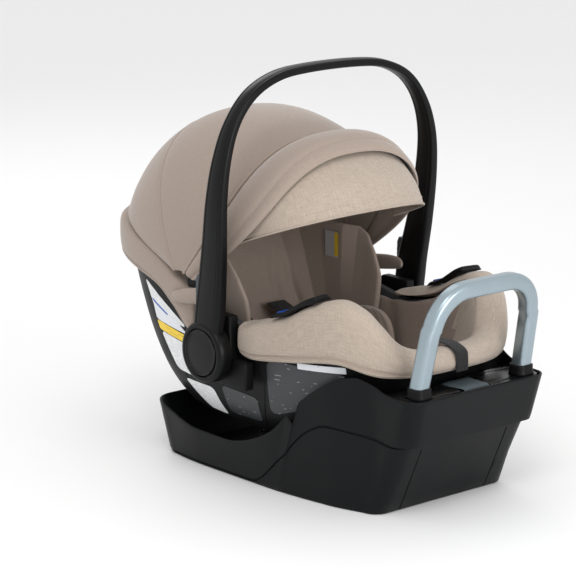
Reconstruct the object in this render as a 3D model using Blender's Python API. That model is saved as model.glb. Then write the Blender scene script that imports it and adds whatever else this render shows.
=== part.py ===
"""Infant car seat: a lift-off carrier with a folding handle and canopy, latched into a base with a rebound bar.

Metres, +Z up, the foot end towards -Y, mirror-symmetric about X = 0.  The origin lies on the floor, in the
base's flat underside.
"""

import math

import bmesh
import bpy
from mathutils import Matrix, Vector

# ---------------------------------------------------------------- driving dimensions
GAP = 0.0003                 # face-to-face clearance between touching pieces
RUN = 0.0005                 # clearance around a piece that turns or slides

SHELL_REAR = 0.352           # the carrier's length behind the origin, which the base's rear follows

# base tub: its outline at the floor and at the rim, as front, rear and half-widths along Y
BASE_WALL = 0.0035
BASE_FLOOR = 0.004
BASE_FRONT_FOOT = -0.276
BASE_FRONT_RIM = -0.360
BASE_REAR_FOOT = SHELL_REAR - 0.149
BASE_REAR_RIM = SHELL_REAR - 0.128
BASE_HALF_FRONT = 0.129
BASE_HALF_MIDDLE = 0.165
BASE_HALF_REAR = 0.154
BASE_FLARE = 0.009           # how far the rim stands outside the foot, each side
BASE_CORNER = 0.026          # corner radius at the front
BASE_TAIL_CORNER = 0.045     # corner radius at the rear
BAND_STEP = 0.015            # how far the front band stands proud of the wall below it
BAND_SHARE = 0.60            # height of that step, as a share of the rim height
DECK_HEIGHT = 0.188          # rim at the front
HUMP_HEIGHT = 0.207          # rim at the highest point of each side
SADDLE_HEIGHT = 0.060        # rim at the lowest point of each side
TAIL_HEIGHT = 0.083          # rim at the rear
BELT_NOTCH_Y = -0.131        # belt path notch in each side
BELT_NOTCH_HALF = 0.012
BELT_NOTCH_FLOOR = 0.115

# deck, rebound bar and release paddle
DECK_PLATE = 0.006
DECK_REAR = -0.284
BAR_WIDTH = 0.025            # tube section, both ways
BAR_CORNER = 0.007
BAR_FOOT_X = 0.105
BAR_TOP_X = 0.098
BAR_TOP_Y = -0.362
BAR_TOP_Z = 0.343            # centre line of the crossbar
BAR_BEND = 0.056             # centre-line radius of the two bends
SOCKET_WALL = 0.0027
SOCKET_CLEAR = 0.0073        # between a socket and the tub's front wall, at the rim
BAR_FOOT_Y = BASE_FRONT_RIM + BASE_WALL + SOCKET_CLEAR + SOCKET_WALL + BAR_WIDTH / 2
SOCKET_BOTTOM = 0.172
SOCKET_TOP = 0.203
PADDLE_HALF = 0.029
PADDLE_FRONT = -0.347
PADDLE_REAR = -0.301
PADDLE_THICK = 0.007

# latch, strikers and recline foot
SHAFT_R = 0.004
SHAFT_HALF = 0.085
SHAFT_Y = -0.155
SHAFT_Z = 0.034
HOOK_X = 0.050
HOOK_THICK = 0.006
STRIKER_R = 0.0035
STRIKER_HALF = 0.070
STRIKER_FRONT_Y = -0.120
STRIKER_REAR_Y = 0.060
STRIKER_Z = 0.043
FOOT_FRONT = -0.238
FOOT_REAR = -0.184
FOOT_HALF = 0.060
FOOT_THICK = 0.012
FOOT_CLEAR = 0.0015
FOOT_SWING = 0.004           # room behind the foot for its corner to swing through

# carrier shell: five outlines from its belly up to its rim
SHELL_WALL = 0.004
SHELL_BELLY = 0.065
SHELL_CENTRE_Y = 0.030
SHELL_HALF = 0.170
SHELL_FRONT = -0.296
SHELL_SHARES = (0.0, 0.08, 0.30, 0.62, 1.0)
SHELL_FRONT_DRAW = (0.156, 0.096, 0.061, 0.028, 0.0)
SHELL_REAR_DRAW = (0.214, 0.146, 0.084, 0.038, 0.0)
SHELL_SIDE_DRAW = (0.070, 0.035, 0.015, 0.005, 0.0)
SHELL_SQUARE_FRONT = 3.6
SHELL_SQUARE_REAR = 4.0
SHELL_STEPS = 2 * round(79.5 * SHELL_REAR)
REAR_COVER_STEPS = round(68.2 * SHELL_REAR)
RIM_LINE = (
    (-0.296, 0.222), (-0.285, 0.236), (-0.270, 0.262), (-0.245, 0.288), (-0.215, 0.299),
    (-0.165, 0.285), (-0.110, 0.258), (-0.030, 0.243), (0.040, 0.243), (0.100, 0.268),
    (0.200, 0.318), (SHELL_REAR, 0.362),
)
HEM_LINE = (
    (-0.300, 0.205), (-0.270, 0.208), (-0.214, 0.222), (-0.123, 0.210), (-0.028, 0.199),
    (0.100, 0.212), (0.145, 0.248), (0.190, 0.276), (0.260, 0.292), (SHELL_REAR - 0.022, 0.304),
)
FOAM_THICK = 0.012
LINER_THICK = 0.010
LAYER_GAP = 0.005 * (SHELL_REAR - 0.152)
COVER_END_Y = -0.016         # where the front cover stops, ahead of the handle pivots
TAIL_COVER_Y = 0.092         # where the rear cover starts, behind them
COVER_PROUD = 0.016
COVER_CROWN = 0.017

# inserts: stations from a wing's tip to the middle, as the face and the back in plan at INSERT_LEVEL
INSERT_FACE = (
    (0.1305, 0.010), (0.1305, 0.028), (0.1305, 0.048), (0.1290, 0.066), (0.1245, 0.090), (0.1225, 0.125),
    (0.116, 0.155), (0.098, 0.176), (0.060, 0.186), (0.0, 0.188),
)
INSERT_BACK = (
    (0.1395, 0.008), (0.1395, 0.028), (0.1395, 0.048), (0.1380, 0.066), (0.1340, 0.090), (0.1320, 0.130),
    (0.122, 0.180), (0.105, 0.212), (0.060, 0.228), (0.0, 0.230),
)
INSERT_HEIGHTS = (
    (0.212, 0.272), (0.204, 0.308), (0.198, 0.334), (0.196, 0.344), (0.196, 0.346), (0.196, 0.347),
    (0.196, 0.345), (0.180, 0.343), (0.160, 0.343), (0.155, 0.343),
)
INSERT_LEANS = (0.0, 0.0, 0.0, 0.0, 0.0, 0.15, 0.35, 0.50, 0.50, 0.50)
INSERT_SPREADS = (0.12, 0.12, 0.12, 0.11, 0.02, 0.0, 0.0, 0.0, 0.0, 0.0)
INSERT_LEVEL = 0.250
INSERT_ROUND = 0.005
BODY_Y = 0.005
BODY_LIFT = 0.008
BODY_WIDTH = 0.120
BODY_THICK = 0.014

# handle and its pivots
PIVOT_Y = 0.024
PIVOT_Z = 0.204
PIN_R = 0.006
HUB_R = 0.048
HUB_INNER_X = 0.1965
HUB_OUTER_X = 0.2205
CAP_R = 0.036
CAP_THICK = 0.0025
ARM_X = 0.2085
ARM_BOW = 0.007              # how far the arms bow outwards at half height
ARM_SECTION = 0.020          # thickness across X at the arms
ARM_WIDTH = 0.056            # width along Y where the arm leaves the hub
GRIP_SECTION = 0.012
GRIP_WIDTH = 0.028
GRIP_Y = -0.020
GRIP_Z = 0.6265
BUTTON_LENGTH = 0.060
BUTTON_THICK = 0.010
BUTTON_DEPTH = 0.014
BUTTON_TRAVEL = 0.004
LEVER_HALF = 0.036
LEVER_BOTTOM = 0.214
LEVER_TOP = 0.262
LEVER_THICK = 0.009
LEVER_DRAW = 0.0305          # how far its front's top edge lies ahead of the shell's rearmost point
LEVER_LEAN = 0.36
HOUSING_OUTER_X = 0.1945
HOUSING_INNER_X = 0.1725

# canopy: hoops from the rear rim over the crown to the brim
CANOPY_AXIS_Y = 0.100
CANOPY_AXIS_Z = 0.300
CANOPY_HALF = 0.186
DOME_THICK = 0.003
BRIM_THICK = 0.006
HOOP_STEPS = 20
MOUNT_INNER_X = 0.163
MOUNT_OUTER_X = 0.1755
MOUNT_HALF = 0.012
SKIRT_INNER_X = 0.1835
SKIRT_TOP = 0.289
SKIRT_PROFILE = ((0.012, 0.264), (0.020, SKIRT_TOP), (0.120, SKIRT_TOP), (0.132, 0.272), (0.096, 0.264))
VISOR_HALF = 0.158
VISOR_THICK = 0.0025

# harness
WEB_WIDTH = 0.038
WEB_THICK = 0.0025
TAIL_WEB_WIDTH = 0.024
BUCKLE_Y = -0.105
BUCKLE_Z = 0.166

BLACK = (0.018, 0.019, 0.020)
GREY = (0.19, 0.21, 0.22)
STEEL = (0.56, 0.57, 0.58)
BAR_BLUE = (0.44, 0.52, 0.56)
KNIT = (0.47, 0.39, 0.34)
KNIT_DARK = (0.30, 0.245, 0.21)
MELANGE = (0.52, 0.44, 0.37)
BLUE = (0.03, 0.12, 0.42)
FOAM = (0.16, 0.16, 0.17)
WEBBING = (0.012, 0.012, 0.012)
RED = (0.55, 0.03, 0.02)


# ---------------------------------------------------------------- helpers
def clear_scene():
    for found in list(bpy.data.objects):
        bpy.data.objects.remove(found, do_unlink=True)


def material(name, colour, roughness, metallic=0.0):
    found = bpy.data.materials.get(name)
    if found:
        return found
    made = bpy.data.materials.new(name)
    made.use_nodes = True
    shader = made.node_tree.nodes["Principled BSDF"]
    shader.inputs["Base Color"].default_value = (*colour, 1.0)
    shader.inputs["Roughness"].default_value = roughness
    shader.inputs["Metallic"].default_value = metallic
    return made


def add_object(name, bm, finish, smooth_angle=None, origin=None):
    """Makes the bmesh a named object; origin is the world point that becomes its pivot."""
    bmesh.ops.recalc_face_normals(bm, faces=bm.faces)
    if origin is not None:
        bmesh.ops.translate(bm, verts=bm.verts, vec=-Vector(origin))
    mesh = bpy.data.meshes.new(name)
    bm.to_mesh(mesh)
    bm.free()
    made = bpy.data.objects.new(name, mesh)
    bpy.context.scene.collection.objects.link(made)
    made.data.materials.append(material(*finish))
    if origin is not None:
        made.location = origin
    if smooth_angle is not None:
        mesh.shade_smooth()
        mesh.set_sharp_from_angle(angle=math.radians(smooth_angle))
    return made


def cutter(name, bm):
    """A closed shape that only cuts."""
    made = add_object(name, bm, ("cutter_finish", (0.8, 0.1, 0.1), 0.5))
    made.hide_render = True
    made.display_type = "WIRE"
    return made


def add_boolean(target, tool, operation="DIFFERENCE"):
    cut = target.modifiers.new(tool.name, "BOOLEAN")
    cut.operation = operation
    cut.solver = "EXACT"
    cut.object = tool


def add_bevel(target, width, segments=2, angle=35.0):
    rounding = target.modifiers.new("edges", "BEVEL")
    rounding.width = width
    rounding.segments = segments
    rounding.limit_method = "ANGLE"
    rounding.angle_limit = math.radians(angle)


def box_mesh(low, high):
    bm = bmesh.new()
    centre = (Vector(low) + Vector(high)) / 2
    size = Vector(high) - Vector(low)
    bmesh.ops.create_cube(bm, size=1.0)
    bmesh.ops.scale(bm, vec=size, verts=bm.verts)
    bmesh.ops.translate(bm, verts=bm.verts, vec=centre)
    return bm


def cylinder_x(x_low, x_high, y, z, radius, segments=24):
    """A cylinder along X."""
    bm = bmesh.new()
    bmesh.ops.create_cone(
        bm, cap_ends=True, segments=segments, radius1=radius, radius2=radius, depth=x_high - x_low,
    )
    bmesh.ops.rotate(bm, verts=bm.verts, matrix=Matrix.Rotation(math.pi / 2, 3, "Y"))
    bmesh.ops.translate(bm, verts=bm.verts, vec=((x_low + x_high) / 2, y, z))
    return bm


def loft(rings):
    """A closed solid through rings of equally many points, capped at both ends."""
    bm = bmesh.new()
    rows = [[bm.verts.new(point) for point in ring] for ring in rings]
    count = len(rows[0])
    for first, second in zip(rows, rows[1:]):
        for index in range(count):
            after = (index + 1) % count
            bm.faces.new((first[index], first[after], second[after], second[index]))
    bm.faces.new(list(reversed(rows[0])))
    bm.faces.new(rows[-1])
    return bm


def along(line, value):
    """The height at value on a list of (position, height) points, straight between them."""
    if value <= line[0][0]:
        return line[0][1]
    for (low, start), (high, end) in zip(line, line[1:]):
        if value <= high:
            return start + (end - start) * (value - low) / (high - low)
    return line[-1][1]


def smooth_path(points, steps):
    """Points on a smooth curve through the given ones, steps to each span."""
    made = []
    last = len(points) - 1
    for index in range(last):
        before = Vector(points[max(index - 1, 0)])
        start = Vector(points[index])
        end = Vector(points[index + 1])
        after = Vector(points[min(index + 2, last)])
        for step in range(steps):
            t = step / steps
            made.append(0.5 * (
                2 * start + (end - before) * t + (2 * before - 5 * start + 4 * end - after) * t * t
                + (3 * start - before - 3 * end + after) * t ** 3
            ))
    made.append(Vector(points[last]))
    return made


def rounded_section(width, height, corner, steps=2):
    """A rounded rectangle about (0, 0), as (across, up) points."""
    made = []
    for turn, (sx, sy) in enumerate(((1, 1), (-1, 1), (-1, -1), (1, -1))):
        for step in range(steps + 1):
            angle = math.pi / 2 * (turn + step / steps)
            made.append((
                sx * (width / 2 - corner) + corner * math.cos(angle),
                sy * (height / 2 - corner) + corner * math.sin(angle),
            ))
    return made


def sweep(path, section_at, side):
    """Rings of section_at(index) along a path; side is each section's first axis, the same all along."""
    rings = []
    last = len(path) - 1
    for index, point in enumerate(path):
        tangent = (path[min(index + 1, last)] - path[max(index - 1, 0)]).normalized()
        first = (side - tangent * side.dot(tangent)).normalized()
        second = tangent.cross(first)
        rings.append([point + first * a + second * b for a, b in section_at(index)])
    return rings


# ---------------------------------------------------------------- base
def base_half_width(y, flare):
    line = (
        (BASE_FRONT_FOOT, BASE_HALF_FRONT), (-0.190, 0.153), (-0.060, BASE_HALF_MIDDLE),
        (0.090, BASE_HALF_MIDDLE), (BASE_REAR_FOOT, BASE_HALF_REAR),
    )
    return along(line, y) + flare


BASE_STATIONS = (
    -0.330, -0.300, -0.270, -0.244, -0.222, -0.176, -0.150, BELT_NOTCH_Y - BELT_NOTCH_HALF,
    BELT_NOTCH_Y, BELT_NOTCH_Y + BELT_NOTCH_HALF, -0.085, -0.054, -0.020, 0.020, 0.060, 0.100, 0.140, 0.190,
)


def base_rim_line():
    return (
        (-0.330, DECK_HEIGHT), (-0.300, DECK_HEIGHT + 0.003), (-0.270, 0.200), (-0.244, HUMP_HEIGHT),
        (-0.222, 0.200), (-0.176, 0.177), (-0.150, 0.158), (BELT_NOTCH_Y - BELT_NOTCH_HALF, 0.150),
        (BELT_NOTCH_Y, BELT_NOTCH_FLOOR), (BELT_NOTCH_Y + BELT_NOTCH_HALF, 0.128), (-0.085, 0.096),
        (-0.054, 0.079), (-0.020, 0.067), (0.020, SADDLE_HEIGHT), (0.090, SADDLE_HEIGHT + 0.001),
        (0.160, 0.073), (0.200, TAIL_HEIGHT),
    )


def base_outline(front, rear, flare, inset=0.0):
    """The tub's plan outline, with the same number of points at every level."""
    front += inset
    rear -= inset
    radius = BASE_CORNER - inset
    tail = BASE_TAIL_CORNER - inset
    low = front + radius
    high = rear - tail
    span = BASE_STATIONS[-1] - BASE_STATIONS[0]
    half = []
    narrow = base_half_width(low, flare) - inset
    half.append((0.0, front))
    half.append((narrow * 0.45, front))
    for step in range(6):
        angle = math.pi / 2 * step / 5
        half.append((narrow - radius + radius * math.sin(angle), low - radius * math.cos(angle)))
    for station in BASE_STATIONS[1:-1]:
        y = low + (high - low) * (station - BASE_STATIONS[0]) / span
        half.append((base_half_width(y, flare) - inset, y))
    wide = base_half_width(high, flare) - inset
    for step in range(6):
        angle = math.pi / 2 * step / 5
        half.append((wide - tail + tail * math.cos(angle), high + tail * math.sin(angle)))
    half.append((wide * 0.45, rear))
    half.append((0.0, rear))
    mirrored = [(-x, y) for x, y in reversed(half[1:-1])]
    return half + mirrored


def base_rings():
    """Level rings of the tub: up its outside, over the rim and down its inside."""
    top = base_outline(BASE_FRONT_RIM, BASE_REAR_RIM, BASE_FLARE)
    rim = [along(base_rim_line(), y) for _, y in top]
    mid_front = BASE_FRONT_FOOT + (BASE_FRONT_RIM - BASE_FRONT_FOOT) * BAND_SHARE
    mid_rear = BASE_REAR_FOOT + (BASE_REAR_RIM - BASE_REAR_FOOT) * BAND_SHARE
    below = base_outline(mid_front, mid_rear, BASE_FLARE * BAND_SHARE)
    above = base_outline(mid_front - BAND_STEP, mid_rear, BASE_FLARE * BAND_SHARE + 0.0015)
    foot = base_outline(BASE_FRONT_FOOT, BASE_REAR_FOOT, 0.0)
    inner_foot = base_outline(BASE_FRONT_FOOT, BASE_REAR_FOOT, 0.0, BASE_WALL)
    inner_mid = base_outline(mid_front, mid_rear, BASE_FLARE * BAND_SHARE, BASE_WALL)
    inner_above = base_outline(mid_front - BAND_STEP, mid_rear, BASE_FLARE * BAND_SHARE, BASE_WALL)
    inner_top = base_outline(BASE_FRONT_RIM, BASE_REAR_RIM, BASE_FLARE, BASE_WALL)

    def level(outline, share, lift=0.0):
        return [(x, y, lift + share * height) for (x, y), height in zip(outline, rim)]

    return [
        level(foot, 0.0), level(below, BAND_SHARE), level(above, BAND_SHARE + 0.03), level(top, 1.0),
        level(inner_top, 1.0), level(inner_above, BAND_SHARE + 0.05), level(inner_mid, BAND_SHARE + 0.02),
        level(inner_foot, 0.0, BASE_FLOOR),
    ]


def build_base_shell():
    tub = add_object("base_shell", loft(base_rings()), ("base_plastic", BLACK, 0.42), 35)
    opening = box_mesh(
        (-FOOT_HALF - FOOT_CLEAR, FOOT_FRONT - FOOT_CLEAR, -0.01),
        (FOOT_HALF + FOOT_CLEAR, FOOT_REAR + FOOT_SWING, 0.008),
    )
    add_boolean(tub, cutter("foot_opening", opening))
    return tub


def build_deck():
    """The plate over the tub's front, cut for the bar's sockets and the release paddle."""
    low = DECK_HEIGHT - DECK_PLATE - 0.001
    high = DECK_HEIGHT - 0.001
    inset = BASE_WALL + 0.0035
    outline = [
        (x, min(y, DECK_REAR)) for x, y in base_outline(BASE_FRONT_RIM, BASE_REAR_RIM, BASE_FLARE, inset)
        if y < DECK_REAR + 0.012
    ]
    plate = loft([[(x, y, low) for x, y in outline], [(x, y, high) for x, y in outline]])
    deck = add_object("base_deck", plate,
                      ("deck_plastic", BLACK, 0.35))
    for side in (-1, 1):
        reach = BAR_WIDTH / 2 + SOCKET_WALL + RUN
        hole = box_mesh((side * BAR_FOOT_X - reach, BAR_FOOT_Y - reach, low - 0.01),
                        (side * BAR_FOOT_X + reach, BAR_FOOT_Y + reach, high + 0.01))
        add_boolean(deck, cutter(f"socket_hole_{side}", hole))
    slot = box_mesh((-PADDLE_HALF - 0.001, PADDLE_FRONT - 0.001, low - 0.01),
                    (PADDLE_HALF + 0.001, PADDLE_REAR + 0.001, high + 0.01))
    add_boolean(deck, cutter("paddle_slot", slot))
    return deck


def build_socket(name, side):
    """A blind square collar that a leg of the bar plugs into."""
    outer = rounded_section(BAR_WIDTH + 2 * SOCKET_WALL, BAR_WIDTH + 2 * SOCKET_WALL, BAR_CORNER + 0.002)
    inner = rounded_section(BAR_WIDTH + 2 * GAP, BAR_WIDTH + 2 * GAP, BAR_CORNER)

    def ring(section, z):
        return [(side * BAR_FOOT_X + a, BAR_FOOT_Y + b, z) for a, b in section]

    levels = [
        ring(outer, SOCKET_BOTTOM), ring(outer, SOCKET_TOP), ring(inner, SOCKET_TOP),
        ring(inner, SOCKET_BOTTOM + SOCKET_WALL),
    ]
    return add_object(name, loft(levels), ("socket_plastic", BLACK, 0.4), 35)


def bar_path():
    """Centre line of the rebound bar, from one foot over the crossbar to the other."""
    foot_z = SOCKET_BOTTOM + SOCKET_WALL + GAP
    lean = (BAR_TOP_Y - BAR_FOOT_Y) / (BAR_TOP_Z - SOCKET_TOP)
    taper = (BAR_TOP_X - BAR_FOOT_X) / (BAR_TOP_Z - SOCKET_TOP)

    def on_leg(z):
        rise = max(z - SOCKET_TOP, 0.0)
        return Vector((BAR_FOOT_X + taper * rise, BAR_FOOT_Y + lean * rise, z))

    half = [on_leg(foot_z), on_leg(SOCKET_TOP), on_leg(SOCKET_TOP + 0.02), on_leg(BAR_TOP_Z - BAR_BEND)]
    centre_x = BAR_TOP_X - BAR_BEND
    for step in range(1, 8):
        angle = math.pi / 2 * step / 7
        z = BAR_TOP_Z - BAR_BEND + BAR_BEND * math.sin(angle)
        half.append(Vector((centre_x + BAR_BEND * math.cos(angle), on_leg(z).y, z)))
    return half + [Vector((-p.x, p.y, p.z)) for p in reversed(half)]


def build_bar():
    section = rounded_section(BAR_WIDTH, BAR_WIDTH, BAR_CORNER)
    rings = sweep(bar_path(), lambda index: section, Vector((0, 1, 0)))
    return add_object("anti_rebound_bar", loft(rings), ("bar_metal", BAR_BLUE, 0.32, 0.85), 40)


def build_paddle():
    low = DECK_HEIGHT - 0.004
    origin = (0.0, PADDLE_REAR - 0.004, low + PADDLE_THICK / 2)
    body = box_mesh((-PADDLE_HALF, PADDLE_FRONT, low), (PADDLE_HALF, PADDLE_REAR, low + PADDLE_THICK))
    paddle = add_object("release_paddle", body, ("paddle_plastic", GREY, 0.45), None, origin)
    add_bevel(paddle, 0.002, 1)
    return paddle


def build_latch():
    """The shaft with its two hooks, and the two blocks that carry it."""
    add_object("latch_shaft", cylinder_x(-SHAFT_HALF, SHAFT_HALF, SHAFT_Y, SHAFT_Z, SHAFT_R, 16),
               ("latch_steel", STEEL, 0.3, 1.0), 40, (0.0, SHAFT_Y, SHAFT_Z))
    reach = STRIKER_FRONT_Y - STRIKER_R - 0.002 - SHAFT_Y
    profile = [
        (-0.010, -0.004), (-0.004, -0.010), (0.006, -0.009), (0.012, -0.002), (reach, 0.004),
        (reach, 0.016), (reach - 0.008, 0.020), (0.010, 0.012), (-0.006, 0.011), (-0.010, 0.005),
    ]
    for side, name in ((-1, "latch_hook_left"), (1, "latch_hook_right")):
        low = side * HOOK_X - HOOK_THICK / 2
        rings = [[(low + shift, SHAFT_Y + a, SHAFT_Z + b) for a, b in profile] for shift in (0.0, HOOK_THICK)]
        hook = add_object(name, loft(rings), ("hook_steel", STEEL, 0.38, 1.0), None, (0.0, SHAFT_Y, SHAFT_Z))
        bore = cylinder_x(low - 0.01, low + HOOK_THICK + 0.01, SHAFT_Y, SHAFT_Z, SHAFT_R + GAP, 16)
        add_boolean(hook, cutter(f"hook_bore_{side}", bore))
    for side, name in ((-1, "latch_block_left"), (1, "latch_block_right")):
        middle = side * (SHAFT_HALF - 0.007)
        block = add_object(name, box_mesh((middle - 0.006, SHAFT_Y - 0.012, BASE_FLOOR + GAP),
                                          (middle + 0.006, SHAFT_Y + 0.012, SHAFT_Z + 0.012)),
                           ("block_plastic", BLACK, 0.5))
        bore = cylinder_x(middle - 0.01, middle + 0.01, SHAFT_Y, SHAFT_Z, SHAFT_R + RUN, 16)
        add_boolean(block, cutter(f"block_bore_{side}", bore))


def wire_object(name, points, radius, finish, resolution=2):
    """A round wire through the given points, as a curve with filled caps."""
    curve = bpy.data.curves.new(name, "CURVE")
    curve.dimensions = "3D"
    curve.bevel_depth = radius
    curve.bevel_resolution = resolution
    curve.use_fill_caps = True
    spline = curve.splines.new("POLY")
    spline.points.add(len(points) - 1)
    for slot, point in zip(spline.points, points):
        slot.co = (*point, 1.0)
    made = bpy.data.objects.new(name, curve)
    bpy.context.scene.collection.objects.link(made)
    curve.materials.append(material(*finish))
    return made


def build_striker(name, y):
    """A steel staple under the carrier's belly that a latch takes hold of."""
    top = SHELL_BELLY - GAP
    bend = 0.008
    half = [(STRIKER_HALF, y, top), (STRIKER_HALF, y, STRIKER_Z + bend)]
    for step in range(1, 4):
        angle = math.pi / 2 * step / 3
        x = STRIKER_HALF - bend + bend * math.cos(angle)
        half.append((x, y, STRIKER_Z + bend - bend * math.sin(angle)))
    points = half + [(-x, y_, z) for x, y_, z in reversed(half)]
    return wire_object(name, points, STRIKER_R, ("striker_steel", STEEL, 0.25, 1.0))


def build_recline_foot():
    """The flip foot in the tub's floor, with its pin and the two lugs that hold the pin."""
    low = 0.001
    pin_y = FOOT_REAR - 0.008
    pin_z = low + 0.007
    slab = box_mesh((-FOOT_HALF, FOOT_FRONT, low), (FOOT_HALF, FOOT_REAR, low + FOOT_THICK))
    foot = add_object("recline_foot", slab,
                      ("foot_plastic", GREY, 0.5), None, (0.0, pin_y, pin_z))
    bore = cylinder_x(-FOOT_HALF - 0.01, FOOT_HALF + 0.01, pin_y, pin_z, 0.003 + RUN, 12)
    add_boolean(foot, cutter("foot_bore", bore))
    add_object("foot_pin", cylinder_x(-FOOT_HALF - 0.010, FOOT_HALF + 0.010, pin_y, pin_z, 0.003, 12),
               ("pin_steel", STEEL, 0.3, 1.0), 40)
    for side, name in ((-1, "foot_lug_left"), (1, "foot_lug_right")):
        middle = side * (FOOT_HALF + 0.007)
        lug = add_object(name, box_mesh((middle - 0.004, pin_y - 0.009, BASE_FLOOR + GAP),
                                        (middle + 0.004, pin_y + 0.009, 0.018)), ("lug_plastic", BLACK, 0.5))
        hole = cylinder_x(middle - 0.01, middle + 0.01, pin_y, pin_z, 0.003 + GAP, 12)
        add_boolean(lug, cutter(f"lug_hole_{side}", hole))


# ---------------------------------------------------------------- carrier shell and what follows its shape
def blend_list(values, share):
    return along(tuple(zip(SHELL_SHARES, values)), share)


def plan_point(angle, share, inset=0.0):
    """The shell's outline in plan at a share of its height; angle 0 is +X and 90 degrees is the rear."""
    half = SHELL_HALF - blend_list(SHELL_SIDE_DRAW, share) - inset
    front = SHELL_CENTRE_Y - SHELL_FRONT - blend_list(SHELL_FRONT_DRAW, share) - inset
    rear = SHELL_REAR - SHELL_CENTRE_Y - blend_list(SHELL_REAR_DRAW, share) - inset
    behind = math.sin(angle) > 0
    power = 2 / (SHELL_SQUARE_REAR if behind else SHELL_SQUARE_FRONT)
    across = math.copysign(abs(math.cos(angle)) ** power, math.cos(angle))
    back = math.copysign(abs(math.sin(angle)) ** power, math.sin(angle))
    return half * across, SHELL_CENTRE_Y + (rear if behind else front) * back


def rim_height(angle):
    return along(RIM_LINE, plan_point(angle, 1.0)[1])


def shell_point(angle, share, inset=0.0, lift=0.0):
    """A point on the shell's outside, moved in by inset and up by lift at the belly."""
    x, y = plan_point(angle, share, inset)
    rim = rim_height(angle)
    return Vector((x, y, SHELL_BELLY + lift + share * (rim - SHELL_BELLY - lift)))


def shell_angles():
    return [2 * math.pi * (index + 0.5) / SHELL_STEPS for index in range(SHELL_STEPS)]


def bucket(outer, inner, top=1.0):
    """An open bucket between two depths below the shell's outside, up to a share of the rim height."""
    angles = shell_angles()

    def ring(share, depth):
        return [shell_point(a, share, depth, depth) for a in angles]

    shares = list(SHELL_SHARES[:-1]) + [top]
    return loft([ring(share, outer) for share in shares] + [ring(share, inner) for share in reversed(shares)])


def build_shell():
    """The hard bucket."""
    return add_object("carrier_shell", bucket(0.0, SHELL_WALL), ("shell_plastic", BLACK, 0.45), 40)


def build_foam_and_liner():
    foam_outer = SHELL_WALL + LAYER_GAP
    foam_inner = foam_outer + FOAM_THICK
    add_object("foam_liner", bucket(foam_outer, foam_inner, 0.965), ("foam", FOAM, 0.8), 40)
    liner_outer = foam_inner + LAYER_GAP
    add_object("seat_liner", bucket(liner_outer, liner_outer + LINER_THICK, 0.97),
               ("liner_fabric", KNIT_DARK, 0.9), 40)


def angle_at(y, side=1):
    """The outline angle whose rim point lies at y, on the +X side or the -X side."""
    low, high = -math.pi / 2, math.pi / 2
    for _ in range(40):
        middle = (low + high) / 2
        if plan_point(middle, 1.0)[1] < y:
            low = middle
        else:
            high = middle
    return low if side > 0 else math.pi - low


def rim_frame(angle):
    """Rim point and outward direction in plan at an outline angle."""
    step = 0.01
    before = Vector(plan_point(angle - step, 1.0))
    after = Vector(plan_point(angle + step, 1.0))
    run = (after - before).normalized()
    x, y = plan_point(angle, 1.0)
    return Vector((x, y, rim_height(angle))), Vector((run.y, -run.x, 0.0))


def rim_sweep(start, end, count, section):
    """A solid that follows the rim from one outline angle to another; section gives (out, height) pairs."""
    rings = []
    for index in range(count + 1):
        angle = start + (end - start) * index / count
        point, outward = rim_frame(angle)
        rings.append([
            Vector((point.x, point.y, 0.0)) + outward * out + Vector((0, 0, height))
            for out, height in section(point)
        ])
    return loft(rings)


def front_cover_section(point):
    """Padded cover over the rim: a skirt outside it and a bolster on top."""
    rim = point.z
    hem = along(HEM_LINE, point.y)
    clear = 0.002
    return [
        (clear, hem), (0.009, hem), (COVER_PROUD, hem + 0.4 * (rim - hem)), (COVER_PROUD, rim + 0.002),
        (0.010, rim + COVER_CROWN - 0.004), (-0.010, rim + COVER_CROWN), (-0.026, rim + COVER_CROWN - 0.005),
        (-0.032, rim + 0.005), (clear, rim + 0.005),
    ]


def rear_cover_section(point):
    rim = point.z
    hem = along(HEM_LINE, point.y)
    clear = 0.002
    return [
        (clear, hem), (0.006, hem), (0.011, hem + 0.4 * (rim - hem)), (0.011, rim + 0.003),
        (0.005, rim + 0.010), (-0.010, rim + 0.013), (-0.026, rim + 0.010), (-0.030, rim + 0.006),
        (clear, rim + 0.006),
    ]


def build_covers():
    right = angle_at(COVER_END_Y)
    front = rim_sweep(-math.pi - right, right, 40, front_cover_section)
    add_object("seat_cover", front, ("melange_fabric", MELANGE, 0.95), 50)
    start = angle_at(TAIL_COVER_Y)
    rear = rim_sweep(start, math.pi - start, REAR_COVER_STEPS, rear_cover_section)
    add_object("rear_cover", rear, ("knit_fabric", KNIT, 0.9), 50)


def guide_section(low, high, inner, outer):
    def section(point):
        return [(outer, point.z + low), (outer, point.z + high - 0.002), (outer - 0.003, point.z + high),
                (inner + 0.003, point.z + high), (inner, point.z + high - 0.002), (inner, point.z + low)]
    return section


def build_belt_guides():
    low = COVER_CROWN + 0.0025
    for side, tag in ((-1, "left"), (1, "right")):
        rear = angle_at(-0.090, side)
        front = angle_at(-0.182, side)
        wedge = rim_sweep(front, rear, 8, guide_section(low, low + 0.009, -0.026, 0.012))
        add_object(f"belt_guide_{tag}", wedge, ("guide_plastic", BLACK, 0.4))
        front = angle_at(-0.135, side)
        rear = angle_at(-0.094, side)
        above = low + 0.009 + GAP
        lining = rim_sweep(front, rear, 4, guide_section(above, above + 0.003, -0.012, 0.010))
        add_object(f"guide_insert_{tag}", lining, ("insert_blue", BLUE, 0.4))


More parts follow.
